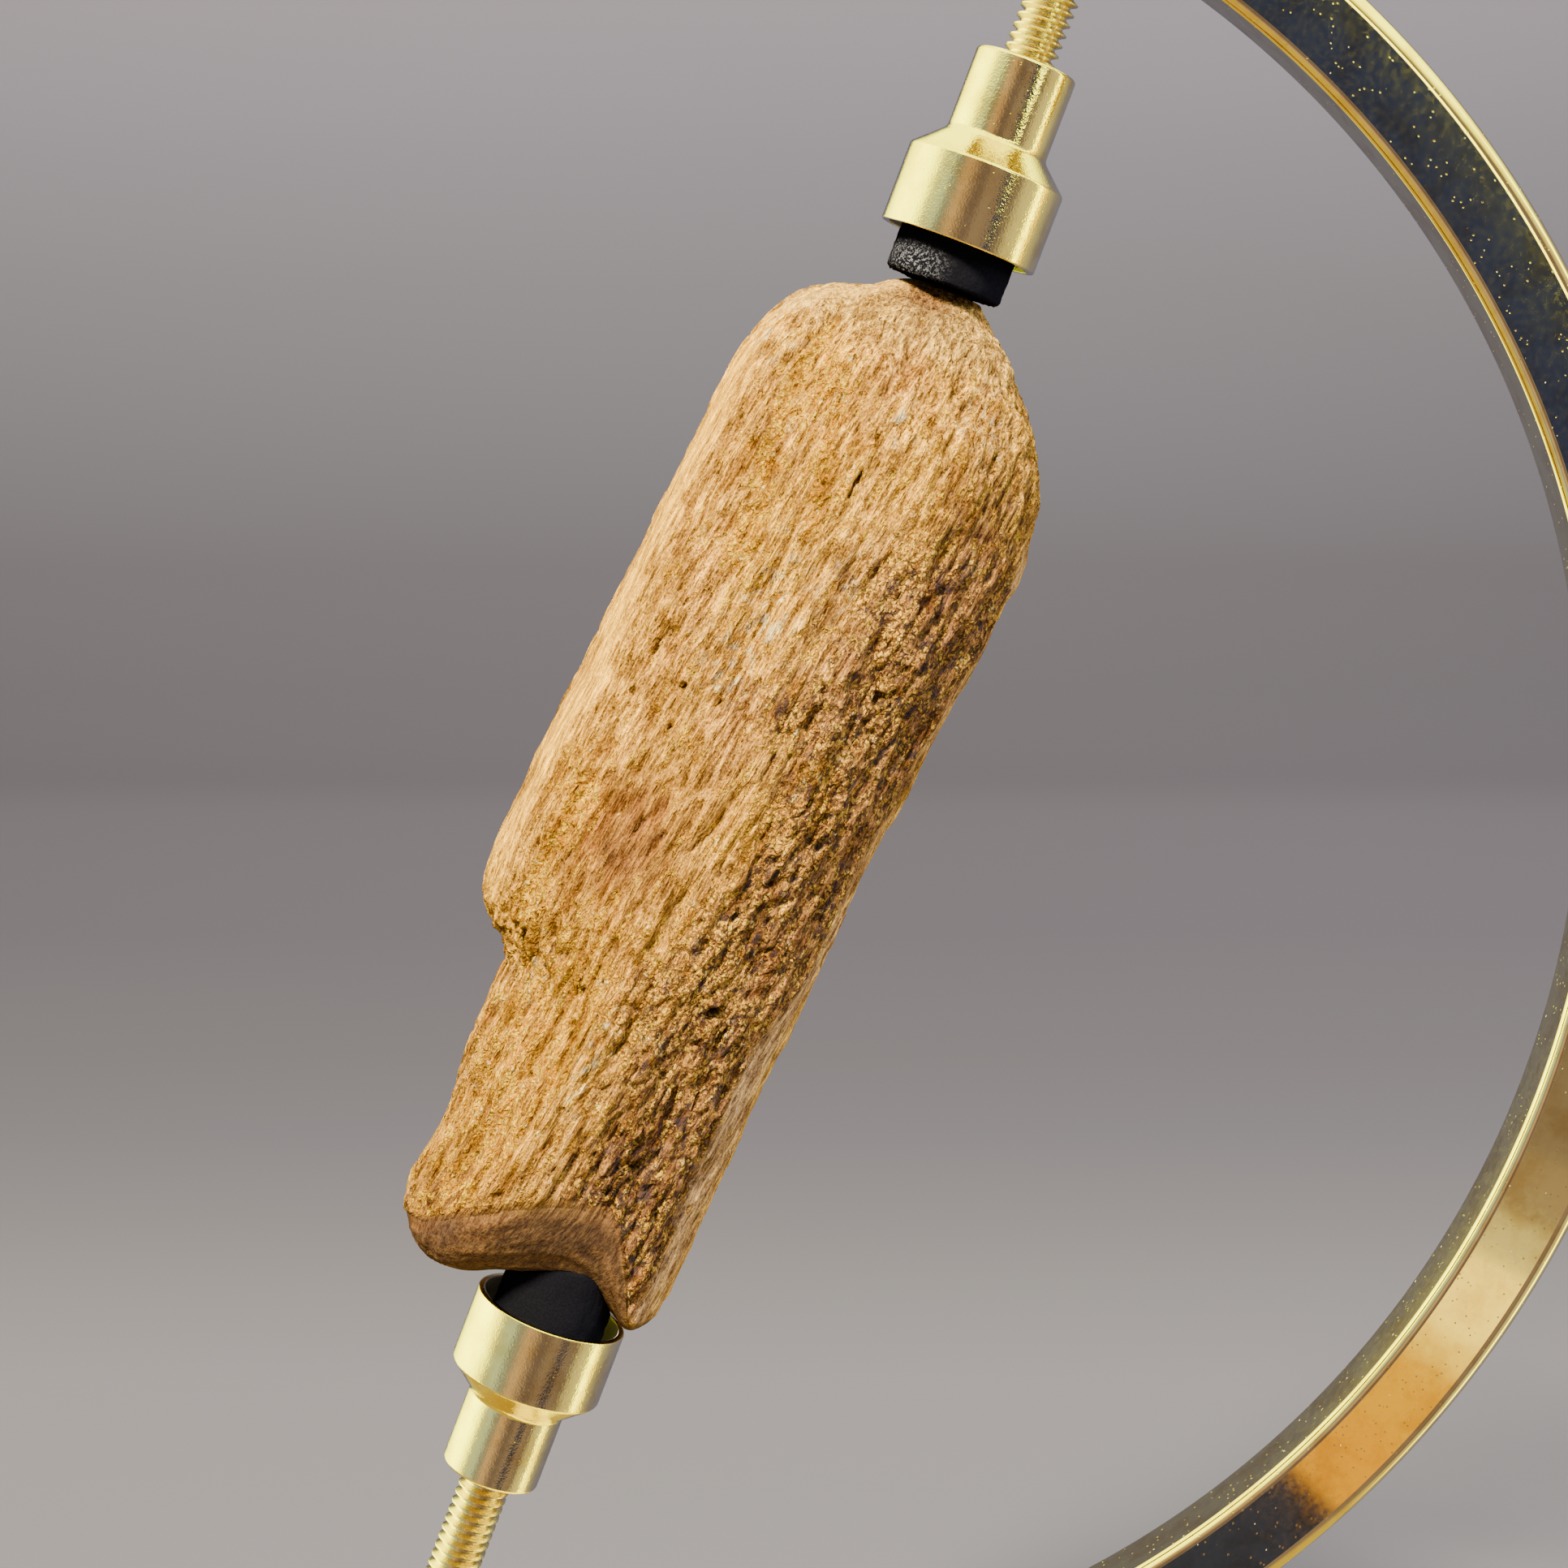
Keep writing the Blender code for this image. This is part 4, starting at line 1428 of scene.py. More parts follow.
    def finish_height(self, spot: Spot) -> None:
        """Streak the broken end, calm the top and hold the depth.

        Args:
            spot: the point, whose height, hollowness and streak are changed.
        """
        end = spot.end
        if end > 0.0:
            behind = spot.v - self.front_surface(spot.u, self.scoop_rim.at(spot.u))
            spot.streak = noise.noise(Vector((behind / 0.55, spot.u / 5.0, 3.0)))
            fine = noise.noise(Vector((behind / 0.3, spot.u / 2.0, 8.0)))
            texture = self.depths.streaks * spot.streak + self.depths.fine_streaks * fine
            spot.height = spot.height * (1.0 - 0.7 * end) + end * texture
            spot.hollow = spot.hollow * (1.0 - end) + end * clamp01(-0.8 * spot.streak)
        spot.height *= clamp01((self.calm_above - spot.s) / self.calm_length)
        spot.height = max(spot.height, self.deepest)

    def tint(self, spot: Spot) -> Colour:
        """Settle the ochre and mix the colour at a point.

        Args:
            spot: the point, with its relief; its ochre is changed.

        Returns:
            The tint.
        """
        tints, front, end, strip, sponge = self.tints, spot.front, spot.end, spot.strip, spot.sponge
        place = spot.u, spot.s
        for patch in self.ochres:
            spot.ochre = max(spot.ochre, patch.at(*place) * (0.8 + 0.6 * spot.blotch))
        ochre = clamp01(spot.ochre) * front + spot.back * ease(spot.blotch, 0.0, 0.6) * 0.5
        ochre = max(ochre, 0.45 * spot.facet * front)
        spot.ochre = ochre * ((1.0 - end) * (1.0 - 0.7 * strip))
        pink = sum(patch.at(*place) for patch in self.pinks) * front
        mineral = sum(patch.at(*place) for patch in self.minerals) * front
        shadow = clamp01(sum(patch.at(*place) for patch in self.shadows)) * front
        tone = 0.5 + 0.5 * ripple(spot.u, spot.v, spot.s, 4.5, 9.0, 5.5)
        speck = ease(spot.read(Grain.SPECKS), 0.1, 0.5)
        # The broken end: its own streaked brown with painted shade for its downward-facing face.
        broken = mix(tints.fracture_and_shade, tints.sponge, 0.7 * clamp01(spot.streak))
        hole_fill_and_shade = mix(tints.rust, tints.gap, sponge)
        colour = mix(tints.tan, tints.pink, clamp01(tone * 0.5 + pink * 0.8))
        # Flute cuts, hollows and pits are darkened here, partly for their darker fill and partly as painted
        # shade in the recesses.
        for over, share in (
            (tints.rust, clamp01(spot.flute * (0.85 + spot.hollow))),
            (tints.sponge, sponge),
            (tints.ochre, 0.5 * spot.ochre),
            (tints.strip, 0.8 * strip * front),
            (tints.dark, 0.85 * shadow * (1.0 - 0.5 * strip)),
            (tints.margin, spot.margin),
            (tints.nub, 0.7 * spot.crown),
            (tints.dark, clamp01(self.pad_shade.at(*place)) * front),
            (tints.mineral, clamp01(mineral * speck * 1.3)),
            (broken, 0.9 * end),
            (hole_fill_and_shade, (0.7 - 0.1 * sponge) * clamp01(spot.hollow)),
            (tints.gap, 0.9 * spot.deep),
        ):
            colour = mix(colour, over, share)
        return colour

    def build(self) -> bpy.types.Object:
        """Shape, tint and settle the bone.

        Returns:
            The bone.
        """
        bm = self.bare_skin()
        layers = bm.verts.layers
        tint_layer = layers.float_color.new("tint")
        for name in ("sponge", "smoothness", "ochre"):
            layers.float.new(name)
        moved = []
        for vert in bm.verts:
            spot = self.survey(*vert.co)
            for step in (self.swell, self.roughen, self.cut_marks, self.finish_height):
                step(spot)
            moved.append(vert.co + vert.normal * spot.height)
            vert[tint_layer] = (*self.tint(spot), 1.0)
            vert[layers.float["sponge"]] = spot.sponge
            vert[layers.float["smoothness"]] = spot.smooth
            vert[layers.float["ochre"]] = spot.ochre
        for vert, place in zip(bm.verts, moved):
            vert.co = place
        material = FossilSkin().material()
        return settle(bm, "bone", clamp_frame(), material, "lower_clamp", Slot.FOSSIL, sharp_angle=180.0)


# ---------------------------------------------------------------- clamp screws


@dataclass
class ClampScrew:
    """One padded clamp screw: cup, threaded rod, knob and foam pad, measured from the cup's rim."""

    side: Side
    bone: FossilBone
    cup_radius: float = 6.15
    cup_wall: float = 0.55
    cup_height: float = 6.1
    cup_cavity: float = 5.2
    cup_cone: float = 2.0
    neck_radius: float = 3.95
    cup_length: float = 14.5
    cup_steps: int = 144
    crest_radius: float = 2.06
    pitch: float = 0.79375
    thread_depth: float = 0.46
    thread_steps: int = 40
    thread_merge: float = 2e-3
    socket_fit: float = 0.08
    socket_depth: float = 5.0
    rod_start: float = 9.8
    rod_length: float = 44.0
    knob_radius: float = 5.0
    knob_length: float = 6.5
    knob_gap: float = 0.3
    knurls: int = 52
    knurl_depth: float = 0.28
    pad_radius: float = 4.6
    pad_rounding: float = 0.35
    upper_pad_stands: float = 2.95
    lower_pad_stands: float = 2.4
    pad_floor_gap: float = 0.3
    pad_held: float = -1.0
    pad_steps: int = 150
    foam_cell: float = 0.28
    foam_relief: float = 0.06
    foam_raggedness: float = 0.1
    foam_sunk: float = 0.05
    bone_gap: float = 0.03

    def build(self) -> None:
        """Build and dress the four pieces."""
        for build in (self.build_cup, self.build_rod, self.build_knob, self.build_pad):
            build()

    def brass(self, piece: str, **changes: object) -> bpy.types.Material:
        """Return one piece's brass, turned about the clamp axis."""
        return Brass(f"{self.side.value}_{piece}_brass", Turned.CLAMP, **changes).material()

    def settle_piece(
        self,
        bm: bmesh.types.BMesh,
        piece: str,
        material: bpy.types.Material,
        sharp_angle: float = 40.0,
        slot: Slot = Slot.BRASS,
    ) -> bpy.types.Object:
        """Settle one piece of this screw.

        Args:
            bm: the mesh, measured from the cup's rim; it is freed.
            piece: the piece's name without its side.
            material: the finish.
            sharp_angle: edges bent further than this, in degrees, stay sharp.
            slot: the material slot.

        Returns:
            The piece.
        """
        name = f"{self.side.value}_{piece}"
        return settle(bm, name, self.side.frame(), material, self.side.body(), slot, sharp_angle)

    def build_cup(self) -> bpy.types.Object:
        """Turn the cup with its cone, neck and socket, and give its bore a rougher, less metallic brass
        painted paler, as painted light for the bright room it mirrors.

        Returns:
            The cup.
        """
        inner = self.cup_radius - self.cup_wall
        socket = self.crest_radius + self.socket_fit
        outline = (
            (0.0, -self.cup_cavity),
            (inner, -self.cup_cavity),
            (inner, 0.0),
            (self.cup_radius, 0.0),
            (self.cup_radius, -self.cup_height),
            (self.neck_radius, -self.cup_height - self.cup_cone),
            (self.neck_radius, -self.cup_length),
            (socket, -self.cup_length),
            (socket, -self.cup_length + self.socket_depth),
            (0.0, -self.cup_length + self.socket_depth),
        )
        breaks = ((6, 0.28), (7, 0.22), (4, 0.14), (3, 0.16), (2, 0.12), (5, 0.3), (1, 0.3))
        bm = Turning(outline, breaks, self.cup_steps).mesh()
        for face in bm.faces:
            middle = face.calc_center_median()
            if math.hypot(middle.x, middle.y) < inner + 0.05 and middle.z > -self.cup_cavity - 0.1:
                face.material_index = 1
        cup = self.settle_piece(bm, "cup", self.brass("cup"))
        # The bore's brass is rougher and less metallic, and painted paler and whiter than the cup: that pale
        # tone is painted light, standing in for the bright surroundings the shaded bore mirrors.
        pale_dull_bore = {"colour": linear(236, 230, 204), "deep": linear(214, 204, 172)}
        cup.data.materials.append(self.brass("bore", roughness=0.55, lustre=0.4, **pale_dull_bore))
        return cup

    def build_rod(self) -> bpy.types.Object:
        """Wind the thread and cut it to length.

        Returns:
            The rod.
        """
        bm = bmesh.new()
        crest = self.crest_radius
        root = crest - self.thread_depth
        tooth = ((root, 0.0), (root, 0.1), (crest, 0.42), (crest, 0.58), (root, 0.9), (root, 1.0))
        draw_line(bm, [(radius, 0.0, share * self.pitch) for radius, share in tooth])
        bmesh.ops.spin(
            bm,
            geom=whole(bm),
            cent=(0.0, 0.0, 0.0),
            dvec=(0.0, 0.0, self.pitch / self.thread_steps),
            axis=(0.0, 0.0, 1.0),
            angle=FULL_TURN,
            steps=self.thread_steps,
        )
        wound = self.pitch
        while wound < self.rod_length + 3.0 * self.pitch:
            more = bmesh.ops.duplicate(bm, geom=whole(bm))["geom"]
            again = [item for item in more if isinstance(item, bmesh.types.BMVert)]
            bmesh.ops.translate(bm, verts=again, vec=(0.0, 0.0, wound))
            wound *= 2.0
        bmesh.ops.remove_doubles(bm, verts=bm.verts, dist=self.thread_merge)
        start = -self.rod_start - self.rod_length - 1.5 * self.pitch
        bmesh.ops.translate(bm, verts=bm.verts, vec=(0.0, 0.0, start))
        for height, outward in ((-self.rod_start, 1.0), (-self.rod_start - self.rod_length, -1.0)):
            bmesh.ops.bisect_plane(
                bm,
                geom=whole(bm),
                dist=MERGE_DISTANCE,
                plane_co=(0.0, 0.0, height),
                plane_no=(0.0, 0.0, outward),
                clear_outer=True,
            )
        bmesh.ops.holes_fill(bm, edges=[edge for edge in bm.edges if edge.is_boundary], sides=0)
        return self.settle_piece(bm, "rod", self.brass("rod", roughness=0.2), 50.0)

    def build_knob(self) -> bpy.types.Object:
        """Turn and knurl the thumb knob.

        Returns:
            The knob.
        """
        floor = -self.rod_start - self.rod_length - self.knob_gap
        upper = floor + self.socket_depth
        lower = upper - self.knob_length
        socket = self.crest_radius + self.socket_fit
        full = self.knob_radius
        outline = (
            (0.0, floor),
            (socket, floor),
            (socket, upper),
            (full - 1.3, upper),
            (full - 0.55, upper - 0.45),
            (full - 0.55, upper - 0.9),
            (full, upper - 1.25),
            (full, lower + 1.05),
            (full - 0.6, lower + 0.6),
            (full - 0.9, lower + 0.15),
            (full - 1.6, lower),
            (full - 2.0, lower + 0.25),
            (0.0, lower + 0.25),
        )
        bm = Turning(outline, ((2, 0.2), (3, 0.15), (10, 0.15)), steps=2 * self.knurls).mesh()
        for vert in bm.verts:
            radius = math.hypot(vert.co.x, vert.co.y)
            column = round(math.atan2(vert.co.y, vert.co.x) / (math.pi / self.knurls))
            if radius > full - 0.01 and column % 2:
                shrink = (full - self.knurl_depth) / radius
                vert.co.x *= shrink
                vert.co.y *= shrink
        return self.settle_piece(bm, "knob", self.brass("knob", roughness=0.22), 30.0)

    def pad_outline(self, top: float) -> tuple[Pair, ...]:
        """Draw a closely stepped outline for the pad, so that its cells can be shaped.

        Args:
            top: how far the pad stands out of the cup.

        Returns:
            The outline.
        """
        floor = -self.cup_cavity + self.pad_floor_gap
        rounded = self.pad_rounding
        shoulder = top - rounded
        face_steps, corner_steps, side_steps = 16, 3, 26
        outline = [(self.pad_radius * share / face_steps, top) for share in range(face_steps)]
        for step in range(corner_steps + 1):
            angle = math.pi / 2.0 * step / corner_steps
            radius = self.pad_radius - rounded + rounded * math.sin(angle)
            outline.append((radius, shoulder + rounded * math.cos(angle)))
        for share in range(1, side_steps + 1):
            outline.append((self.pad_radius, shoulder + (floor - top + rounded) * share / side_steps))
        return (*outline, (self.pad_radius * 0.5, floor), (0.0, floor))

    def build_pad(self) -> bpy.types.Object:
        """Cut the foam pad, shape its cells and press the lower one to the bone.

        Returns:
            The pad.
        """
        upper = self.side is Side.UPPER
        top = self.upper_pad_stands if upper else self.lower_pad_stands
        held = self.pad_held
        bm = Turning(self.pad_outline(top), steps=self.pad_steps).mesh()
        torn_layer = bm.verts.layers.float.new("torn")
        bm.normal_update()
        moved = []
        for vert in bm.verts:
            x, y, z = vert.co
            cells = self.foam_relief * noise.noise(vert.co / self.foam_cell)
            ragged = self.foam_raggedness * noise.noise(Vector((x / 1.6, y / 1.6, z / 1.2 + 5.0)))
            place = vert.co + vert.normal * (cells + ragged - self.foam_sunk)
            worn = 0.0
            if upper:
                worn = ease(x, 0.5, -3.0) * ease(y, -1.0, 3.0)
                if z > top - 0.4:
                    place.z += 0.25 - 0.12 * math.exp(-((x / 3.2) ** 2 + (y / 2.4) ** 2))
            elif z > self.cup_cavity * -0.2:
                share = clamp01((z - held) / (top - held))
                seat = self.bone.lower_end(place.x, place.y) - LOWER_RIM - self.bone_gap
                place.z = held + (seat - held) * share
            vert[torn_layer] = worn * ease(z, 0.6, 2.0) * (1.0 if math.hypot(x, y) > 3.0 else 0.4)
            moved.append(place)
        for vert, place in zip(bm.verts, moved):
            vert.co = place
        foam = Foam(f"{self.side.value}_pad_foam", flecked=upper).material()
        pad = self.settle_piece(bm, "pad", foam, 180.0, Slot.FOAM)
        return pad


# ---------------------------------------------------------------- stand


@dataclass
class Stand:
    """The half-ring arm, its stem and its round foot."""

    inner_radius: float = 73.7
    thickness: float = 7.0
    depth: float = 5.9
    inner_edge: float = 0.8
    outer_edge: float = 1.4
    end_edge: float = 0.3
    edge_segments: int = 6
    touching: float = 1e-3
    arc_steps: int = 288
    hole_radius: float = 2.18
    hole_length: float = 24.0
    hole_sides: int = 48
    base_radius: float = 48.0
    base_height: float = 9.0
    stem_foot_radius: float = 9.0
    stem_radius: float = 4.75
    stem_head_radius: float = 6.0
    gap: float = 0.3

    def build(self) -> None:
        """Build and dress the three pieces."""
        for build in (self.build_arm, self.build_stem, self.build_base):
            build()

    def build_arm(self) -> bpy.types.Object:
        """Bend the bar into its half ring, round its edges and bore its ends.

        Returns:
            The arm.
        """
        bm = bmesh.new()
        half = self.depth / 2.0
        outer = self.inner_radius + self.thickness
        corners = ((-half, self.inner_radius), (half, self.inner_radius), (half, outer), (-half, outer))
        bm.faces.new([bm.verts.new((0.0, depth, radius)) for depth, radius in corners])
        bmesh.ops.spin(
            bm,
            geom=whole(bm),
            cent=(0.0, 0.0, 0.0),
            axis=(0.0, 1.0, 0.0),
            angle=math.pi,
            steps=self.arc_steps,
        )
        bmesh.ops.recalc_face_normals(bm, faces=bm.faces)
        for radius, rounding in ((self.inner_radius, self.inner_edge), (outer, self.outer_edge)):
            self.round_long_edges(bm, radius, rounding)
        rims = [edge for edge in bm.edges if all(abs(vert.co.x) < MERGE_DISTANCE for vert in edge.verts)]
        round_edges(bm, rims, self.end_edge, segments=2)
        bmesh.ops.translate(bm, verts=bm.verts, vec=(-CLAMP_OFFSET, 0.0, 0.0))
        marks = {"roughness": 0.07, "mark_width": 0.3, "mark_depth": 0.0015, "speckle": 0.0, "dust": 0.09}
        finish = Brass("arm_brass", Turned.ARC, **marks)
        arm = settle(bm, "arm", clamp_frame(), finish.material(), "stand", Slot.BRASS)
        self.bore(arm)
        return arm

    def round_long_edges(self, bm: bmesh.types.BMesh, radius: float, rounding: float) -> None:
        """Round the two edges of the bar that run along its arc.

        Args:
            bm: the bar, with the arc's centre at its origin.
            radius: how far from that centre the two edges lie.
            rounding: the width to round off.
        """
        for depth in (-self.depth / 2.0, self.depth / 2.0):
            edges = []
            for edge in bm.edges:
                places = [vert.co for vert in edge.verts]
                apart = max(abs(math.hypot(place.x, place.z) - radius) for place in places)
                if max(apart, *(abs(place.y - depth) for place in places)) < self.touching:
                    edges.append(edge)
            round_edges(bm, edges, rounding, self.edge_segments)

    def bore(self, arm: bpy.types.Object) -> None:
        """Cut the two screw holes through the ends of the arm.

        Args:
            arm: the arm, in the row frame.
        """
        bm = bmesh.new()
        radius = self.hole_radius
        for side in (1.0, -1.0):
            made = bmesh.ops.create_cone(
                bm,
                cap_ends=True,
                segments=self.hole_sides,
                radius1=radius,
                radius2=radius,
                depth=self.hole_length,
            )["verts"]
            bmesh.ops.translate(bm, verts=made, vec=(0.0, 0.0, side * (self.inner_radius + 3.0)))
        bmesh.ops.transform(bm, matrix=clamp_frame(), verts=bm.verts)
        cutter = add_object("hole_cutter", to_mesh(bm, "hole_cutter"))
        cut = arm.modifiers.new("Screw holes", "BOOLEAN")
        cut.operation = "DIFFERENCE"
        cut.solver = "EXACT"
        cut.object = cutter
        bake(arm)
        flatten_shading(arm)
        bpy.data.objects.remove(cutter)

    def settle_upright(
        self,
        name: str,
        outline: tuple[Pair, ...],
        breaks: tuple[tuple[int, float], ...],
        steps: int,
        **finish: float,
    ) -> bpy.types.Object:
        """Turn and settle a piece that stands upright.

        Args:
            name: the piece's name.
            outline: its (radius, height) points.
            breaks: the outline's corners to round, by number and width.
            steps: how many steps make the full turn.
            finish: changes to the brass.

        Returns:
            The piece.
        """
        bm = Turning(outline, breaks, steps, rounding_steps=4).mesh()
        brass = Brass(f"{name}_brass", Turned.UPRIGHT, **finish).material()
        return settle(bm, name, Matrix.Scale(MM, 4), brass, "stand", Slot.BRASS)

    def build_stem(self) -> bpy.types.Object:
        """Turn the post from the foot to the arm's lowest point.

        Returns:
            The stem.
        """
        low = self.base_height + self.gap
        high = ARM_CENTRE_HEIGHT - self.inner_radius - self.thickness - self.gap
        head = self.stem_head_radius
        foot = self.stem_foot_radius
        outline = (
            (0.0, high),
            (head, high),
            (head, high - 3.2),
            (self.stem_radius, high - 4.4),
            (self.stem_radius, low + 4.6),
            (self.stem_radius + 1.2, low + 2.9),
            (foot, low + 1.6),
            (foot, low),
            (0.0, low),
        )
        breaks = ((6, 0.4), (7, 0.3), (5, 1.2), (4, 1.0), (3, 0.4), (2, 0.4), (1, 0.4))
        return self.settle_upright("stem", outline, breaks, 112)

    def build_base(self) -> bpy.types.Object:
        """Turn the round foot.

        Returns:
            The base.
        """
        radius = self.base_radius
        high = self.base_height
        outline = (
            (0.0, high),
            (radius - 6.2, high),
            (radius - 5.9, high - 0.35),
            (radius - 5.2, high - 0.35),
            (radius - 4.9, high - 0.1),
            (radius - 4.0, high - 0.1),
            (radius - 1.1, high - 1.1),
            (radius, high - 3.2),
            (radius, 0.5),
            (radius - 0.5, 0.0),
            (0.0, 0.0),
        )
        breaks = ((8, 0.2), (7, 0.9), (6, 0.9), (5, 0.8), (1, 0.1), (4, 0.1))
        return self.settle_upright("base", outline, breaks, 192, roughness=0.2, mark_width=0.2)


# ---------------------------------------------------------------- studio


@dataclass(frozen=True)
class SoftLight:
    """An area light that faces the clamp; places are metres."""

    name: str
    place: Place
    size: Pair
    power: float
    colour: Colour
    aim: Place = (0.01, 0.0, 0.12)

    def build(self) -> None:
        """Hang the light."""
        data = bpy.data.lights.new(self.name, "AREA")
        data.shape = "RECTANGLE"
        data.size, data.size_y = self.size
        data.energy = self.power
        data.color = self.colour
        lamp = add_object(self.name, data)
        lamp.location = self.place
        toward = Vector(self.aim) - Vector(self.place)
        lamp.rotation_euler = toward.to_track_quat("-Z", "Y").to_euler()
        lamp.visible_glossy = False


@dataclass(frozen=True)
class Card:
    """A coloured card that only polished metal sees."""

    name: str
    corners: tuple[Place, ...]
    colour: Colour

    def build(self) -> None:
        """Stand the card in its place."""
        bm = bmesh.new()
        bm.faces.new([bm.verts.new(corner) for corner in self.corners])
        mesh = to_mesh(bm, self.name)
        card = add_object(self.name, mesh)
        net = ShaderNet(bpy.data.materials.new(self.name))
        glow = net.add("Emission", {"Color": self.colour, "Strength": 1.0})
        net.feed(net.tree.nodes["Material Output"].inputs[0], glow.outputs[0])
        mesh.materials.append(net.owner)
        for ray in ("camera", "diffuse", "shadow", "transmission"):
            setattr(card, f"visible_{ray}", False)


@dataclass
class Studio:
    """The pale floor that sweeps up behind the piece, the light and the camera; metres."""

    camera_place: Place = (0.0095, -0.2217, 0.1531)
    camera_look: Place = (0.0066, 0.9906, -0.1365)
    lens: float = 66.1
    sensor: float = 36.0
    nearest_seen: float = 0.01
    sweep_half_width: float = 2.4
    sweep_front: float = -1.6
    sweep_back: float = 0.9
    sweep_radius: float = 0.5
    sweep_wall: float = 1.6
    sweep_steps: int = 24
    soft_colour: Colour = linear(184, 194, 210)
    soft_strength: float = 0.45
    mirrored_strength: float = 10.0
    ceiling: Colour = (5.5, 5.8, 0.25)
    ceiling_band: Pair = (0.36, 0.66)
    mirrored_floor: Colour = (0.9, 0.66, 0.1)
    floor_band: Pair = (-0.5, -0.66)
    floor_tilt: float = 0.25
    mirrored_room: Stops = (
        (-180.0, (0.17, 0.17, 0.25)), (-158.0, (0.2, 0.2, 0.28)), (-150.0, (4.0, 4.0, 0.3)),
        (-128.0, (7.5, 8.0, 0.1)), (-106.0, (9.5, 10.5, 0.1)), (-90.0, (8.5, 9.5, 0.1)),
        (-74.0, (4.5, 4.8, 0.3)), (-66.0, (1.1, 1.2, 0.7)), (-60.0, (0.9, 1.05, 0.72)),
        (-47.0, (0.85, 1.05, 0.85)), (-41.0, (0.45, 0.52, 0.5)), (-35.0, (0.38, 0.38, 0.4)),
        (-29.0, (0.75, 0.55, 0.38)), (-23.0, (1.0, 0.64, 0.4)), (-16.0, (0.6, 0.42, 0.32)),
        (-5.0, (0.22, 0.17, 0.2)), (1.0, (0.24, 0.18, 0.2)), (11.0, (0.4, 0.3, 0.28)),
        (23.0, (0.33, 0.24, 0.24)), (35.0, (0.38, 0.28, 0.27)), (48.0, (0.24, 0.19, 0.22)),
        (58.0, (0.85, 0.76, 0.45)), (70.0, (1.1, 1.0, 0.5)), (80.0, (0.95, 0.9, 0.45)),
        (86.0, (9.0, 9.0, 0.05)), (94.0, (9.0, 9.0, 0.05)), (99.0, (1.4, 1.3, 0.4)),
        (106.0, (0.8, 0.75, 0.42)), (128.0, (0.32, 0.31, 0.4)), (180.0, (0.17, 0.17, 0.25)),
    )
    # Painted light: the sweep's colour by depth and height, darker about the horizon and lighter on the near
    # floor and high on the wall, standing in for how the studio light falls on it.
    sweep_painted_light: Stops = (
        (0.070, (0.119, 0.112, 0.126)), (0.085, (0.120, 0.113, 0.126)), (0.105, (0.125, 0.116, 0.130)),
        (0.125, (0.114, 0.107, 0.118)), (0.149, (0.099, 0.093, 0.103)), (0.179, (0.087, 0.081, 0.095)),
        (0.215, (0.083, 0.077, 0.088)), (0.290, (0.086, 0.078, 0.093)), (0.409, (0.106, 0.097, 0.112)),
        (0.532, (0.100, 0.092, 0.106)), (0.610, (0.104, 0.095, 0.110)), (0.698, (0.134, 0.125, 0.145)),
        (0.756, (0.157, 0.146, 0.168)), (0.809, (0.183, 0.173, 0.203)), (0.868, (0.230, 0.207, 0.243)),
    )
    lights: tuple[SoftLight, ...] = (
        SoftLight("window_light", (-0.27, -0.7, 0.93), (0.2, 0.2), 76.0, (1.0, 0.93, 0.68)),
        SoftLight("room_fill", (0.8, -0.35, 0.45), (0.5, 0.5), 13.0, (0.76, 0.86, 1.0)),
        SoftLight("back_fill", (0.45, 0.7, 0.75), (0.3, 0.3), 4.5, (1.0, 0.96, 0.9)),
        SoftLight("side_strip", (0.62, 0.1, 0.05), (0.08, 0.5), 1.2, (1.0, 0.9, 0.65)),
        SoftLight("backdrop_light", (0.0, 0.35, 1.3), (1.4, 0.4), 9.0, (0.98, 0.98, 1.0), (0.0, 1.3, 0.5)),
    )
    card_plane: float = -0.12
    face_radii: Pair = (70.5, 86.0)
    face_shades: Stops = (
        (70.0, (0.035, 0.05, 0.19)), (58.0, (0.035, 0.05, 0.19)), (46.0, (0.035, 0.05, 0.19)),
        (34.0, (0.035, 0.05, 0.19)), (22.0, (0.035, 0.05, 0.19)), (10.0, (0.035, 0.05, 0.19)),
        (0.0, (0.06, 0.06, 0.16)), (-9.0, (0.14, 0.12, 0.14)), (-15.0, (0.32, 0.25, 0.22)),
        (-22.0, (0.5, 0.38, 0.27)), (-26.0, (1.1, 0.95, 0.5)), (-29.0, (2.7, 2.1, 0.5)),
        (-34.0, (2.1, 1.5, 0.2)), (-36.0, (1.45, 0.75, 0.0)), (-41.0, (1.4, 0.66, 0.0)),
        (-46.3, (0.05, 0.06, 0.15)), (-60.0, (0.05, 0.06, 0.15)), (-75.0, (0.05, 0.06, 0.15)),
        (-90.0, (0.05, 0.06, 0.15)),
    )
    rim_radii: Pair = (86.0, 106.0)
    rim_starts: tuple[int, ...] = (22, 34, 46, 58)
    rim_width: float = 12.0
    rim_colour: Colour = (8.0, 8.5, 0.6)

    def build(self) -> None:
        """Set up the camera, the sweep, the sky, the lights and the cards."""
        self.build_camera()
        self.build_sweep()
        self.build_sky()
        for item in (*self.lights, *self.cards()):
            item.build()

    def build_camera(self) -> None:
        """Place the camera."""
        data = bpy.data.cameras.new("camera")
        data.lens = self.lens
        data.sensor_width = self.sensor
        data.clip_start = self.nearest_seen
        camera = add_object("camera", data)
        camera.location = self.camera_place
        camera.rotation_euler = Vector(self.camera_look).to_track_quat("-Z", "Y").to_euler()
        bpy.context.scene.camera = camera

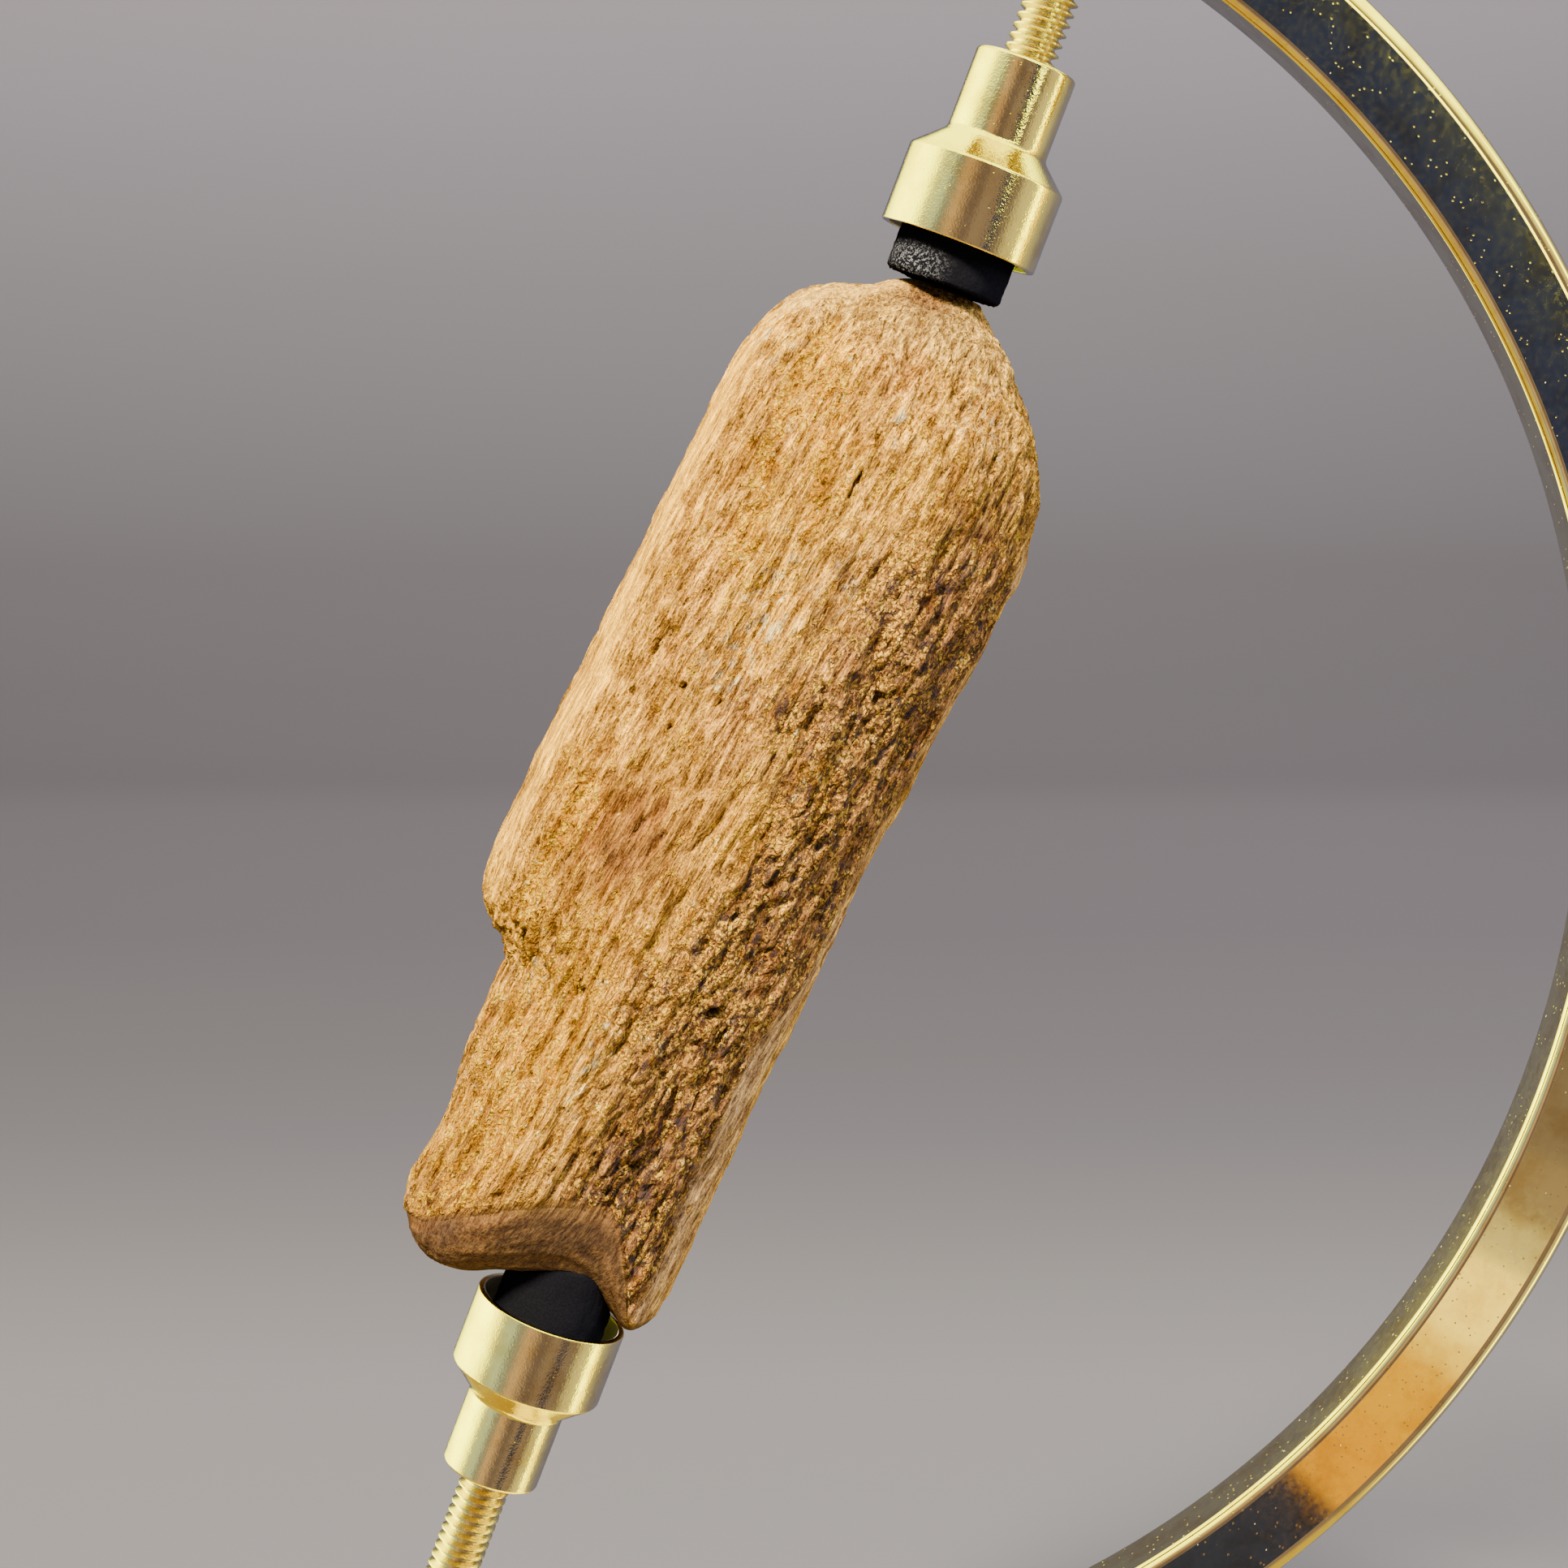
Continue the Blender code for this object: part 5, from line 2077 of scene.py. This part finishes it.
    def build_sweep(self) -> None:
        """Lay the floor and sweep it up into the backdrop, with light and shade painted into its colour."""
        bm = bmesh.new()
        front, back, wide = self.sweep_front, self.sweep_back, self.sweep_half_width
        edge = bm.edges.new([bm.verts.new((x, front, 0.0)) for x in (-wide, wide)])
        floor = bmesh.ops.extrude_edge_only(bm, edges=[edge])["geom"]
        far = [item for item in floor if isinstance(item, bmesh.types.BMVert)]
        bmesh.ops.translate(bm, verts=far, vec=(0.0, back - front, 0.0))
        last = [edge for edge in bm.edges if all(abs(vert.co.y - back) < 1e-6 for vert in edge.verts)]
        cove = bmesh.ops.spin(
            bm,
            geom=far + last,
            cent=(0.0, back, self.sweep_radius),
            axis=(1.0, 0.0, 0.0),
            angle=math.pi / 2.0,
            steps=self.sweep_steps,
        )["geom_last"]
        last = [item for item in cove if isinstance(item, bmesh.types.BMEdge)]
        wall = bmesh.ops.extrude_edge_only(bm, edges=last)["geom"]
        top = [item for item in wall if isinstance(item, bmesh.types.BMVert)]
        bmesh.ops.translate(bm, verts=top, vec=(0.0, 0.0, self.sweep_wall))
        mesh = to_mesh(bm, "sweep")
        mesh.shade_smooth()
        sweep = add_object("sweep", mesh)
        net = ShaderNet(bpy.data.materials.new("sweep_paper_painted_light"))
        _, back_way, up = net.add("SeparateXYZ", {0: net.add("TexCoord").outputs["Object"]}).outputs
        # The colour carries the painted light and shade, graded along the sweep.
        colour = net.ramp(net.math("DIVIDE", net.plus(back_way, up), 2.0), self.sweep_painted_light)
        mesh.materials.append(net.dress({"Base Color": colour, "Roughness": 0.9, "Specular IOR Level": 0.0}))
        sweep.visible_glossy = False

    def dim(self, colour: Colour) -> Colour:
        """Return a mirrored colour as a share of the mirrored strength."""
        return tuple(part / self.mirrored_strength for part in colour)

    def build_sky(self) -> None:
        """Make the soft room light, which polished metal sees as bright and dark walls."""
        net = ShaderNet(bpy.data.worlds.new("room"))
        bpy.context.scene.world = net.owner
        right, back, up = net.add("SeparateXYZ", {0: net.add("TexCoord").outputs["Generated"]}).outputs
        turn = net.math("ARCTAN2", right, net.times(back, -1.0))
        share = net.add("MapRange", {0: turn, 1: -math.pi, 2: math.pi}).outputs[0]
        stops = [((degrees + 180.0) / 360.0, self.dim(colour)) for degrees, colour in self.mirrored_room]
        room = net.ramp(share, tuple(stops))
        low = net.math("MULTIPLY_ADD", right, self.floor_tilt, up)
        room = net.blend(net.span(up, *self.ceiling_band), room, self.dim(self.ceiling))
        room = net.blend(net.span(low, *self.floor_band), room, self.dim(self.mirrored_floor))
        net.dress({"Color": room, "Strength": self.mirrored_strength})
        soft = net.add("Background", {"Color": self.soft_colour, "Strength": self.soft_strength})
        glossy = net.add("LightPath").outputs["Is Glossy Ray"]
        both = net.add("MixShader", {0: glossy, 1: soft.outputs[0], 2: net.shader.outputs[0]})
        net.feed(net.tree.nodes["World Output"].inputs["Surface"], both.outputs[0])

    def mirrored(self, angle: float, radius: float) -> Place:
        """Find where a point of the arm's face sees the plane of the cards.

        Args:
            angle: the point's angle on the arc, in degrees from the right.
            radius: its distance from the arc's centre.

        Returns:
            The place on the plane of the cards.
        """
        eye_x, eye_y, eye_z = self.camera_place
        scale = (self.card_plane + eye_y) / eye_y
        x = radius * MM * math.cos(math.radians(angle))
        z = (ARM_CENTRE_HEIGHT + radius * math.sin(math.radians(angle))) * MM
        return eye_x + scale * (x - eye_x), self.card_plane, eye_z + scale * (z - eye_z)

    def wedge(self, name: str, angles: Pair, radii: Pair, colour: Colour) -> Card:
        """Cut a card that the arm mirrors between two angles and two radii.

        Args:
            name: the card's name.
            angles: where it starts and ends, in degrees from the right.
            radii: its near and its far edge.
            colour: what it gives off.

        Returns:
            The card.
        """
        (start, end), (near, far) = angles, radii
        corners = ((start, near), (start, far), (end, far), (end, near))
        return Card(name, tuple(self.mirrored(*corner) for corner in corners), colour)

    def cards(self) -> list[Card]:
        """Cut the cards that the arm's front face and its outer edge mirror.

        Returns:
            The cards.
        """
        cards = []
        for index, ((start, colour), (end, _)) in enumerate(zip(self.face_shades, self.face_shades[1:])):
            cards.append(self.wedge(f"face_card_{index}", (start, end), self.face_radii, colour))
        for start in self.rim_starts:
            angles = (start + self.rim_width, start)
            cards.append(self.wedge(f"rim_card_{start}", angles, self.rim_radii, self.rim_colour))
        return cards


# ---------------------------------------------------------------- the whole object


def main() -> None:
    """Build the studio and every piece, in order."""
    logging.basicConfig(level=logging.INFO, format="%(name)s: %(message)s")
    Studio().build()
    bone = FossilBone()
    bone.build()
    for side in Side:
        ClampScrew(side, bone).build()
        log.info("%s screw built", side.value)
    Stand().build()


if __name__ == "__main__":
    main()
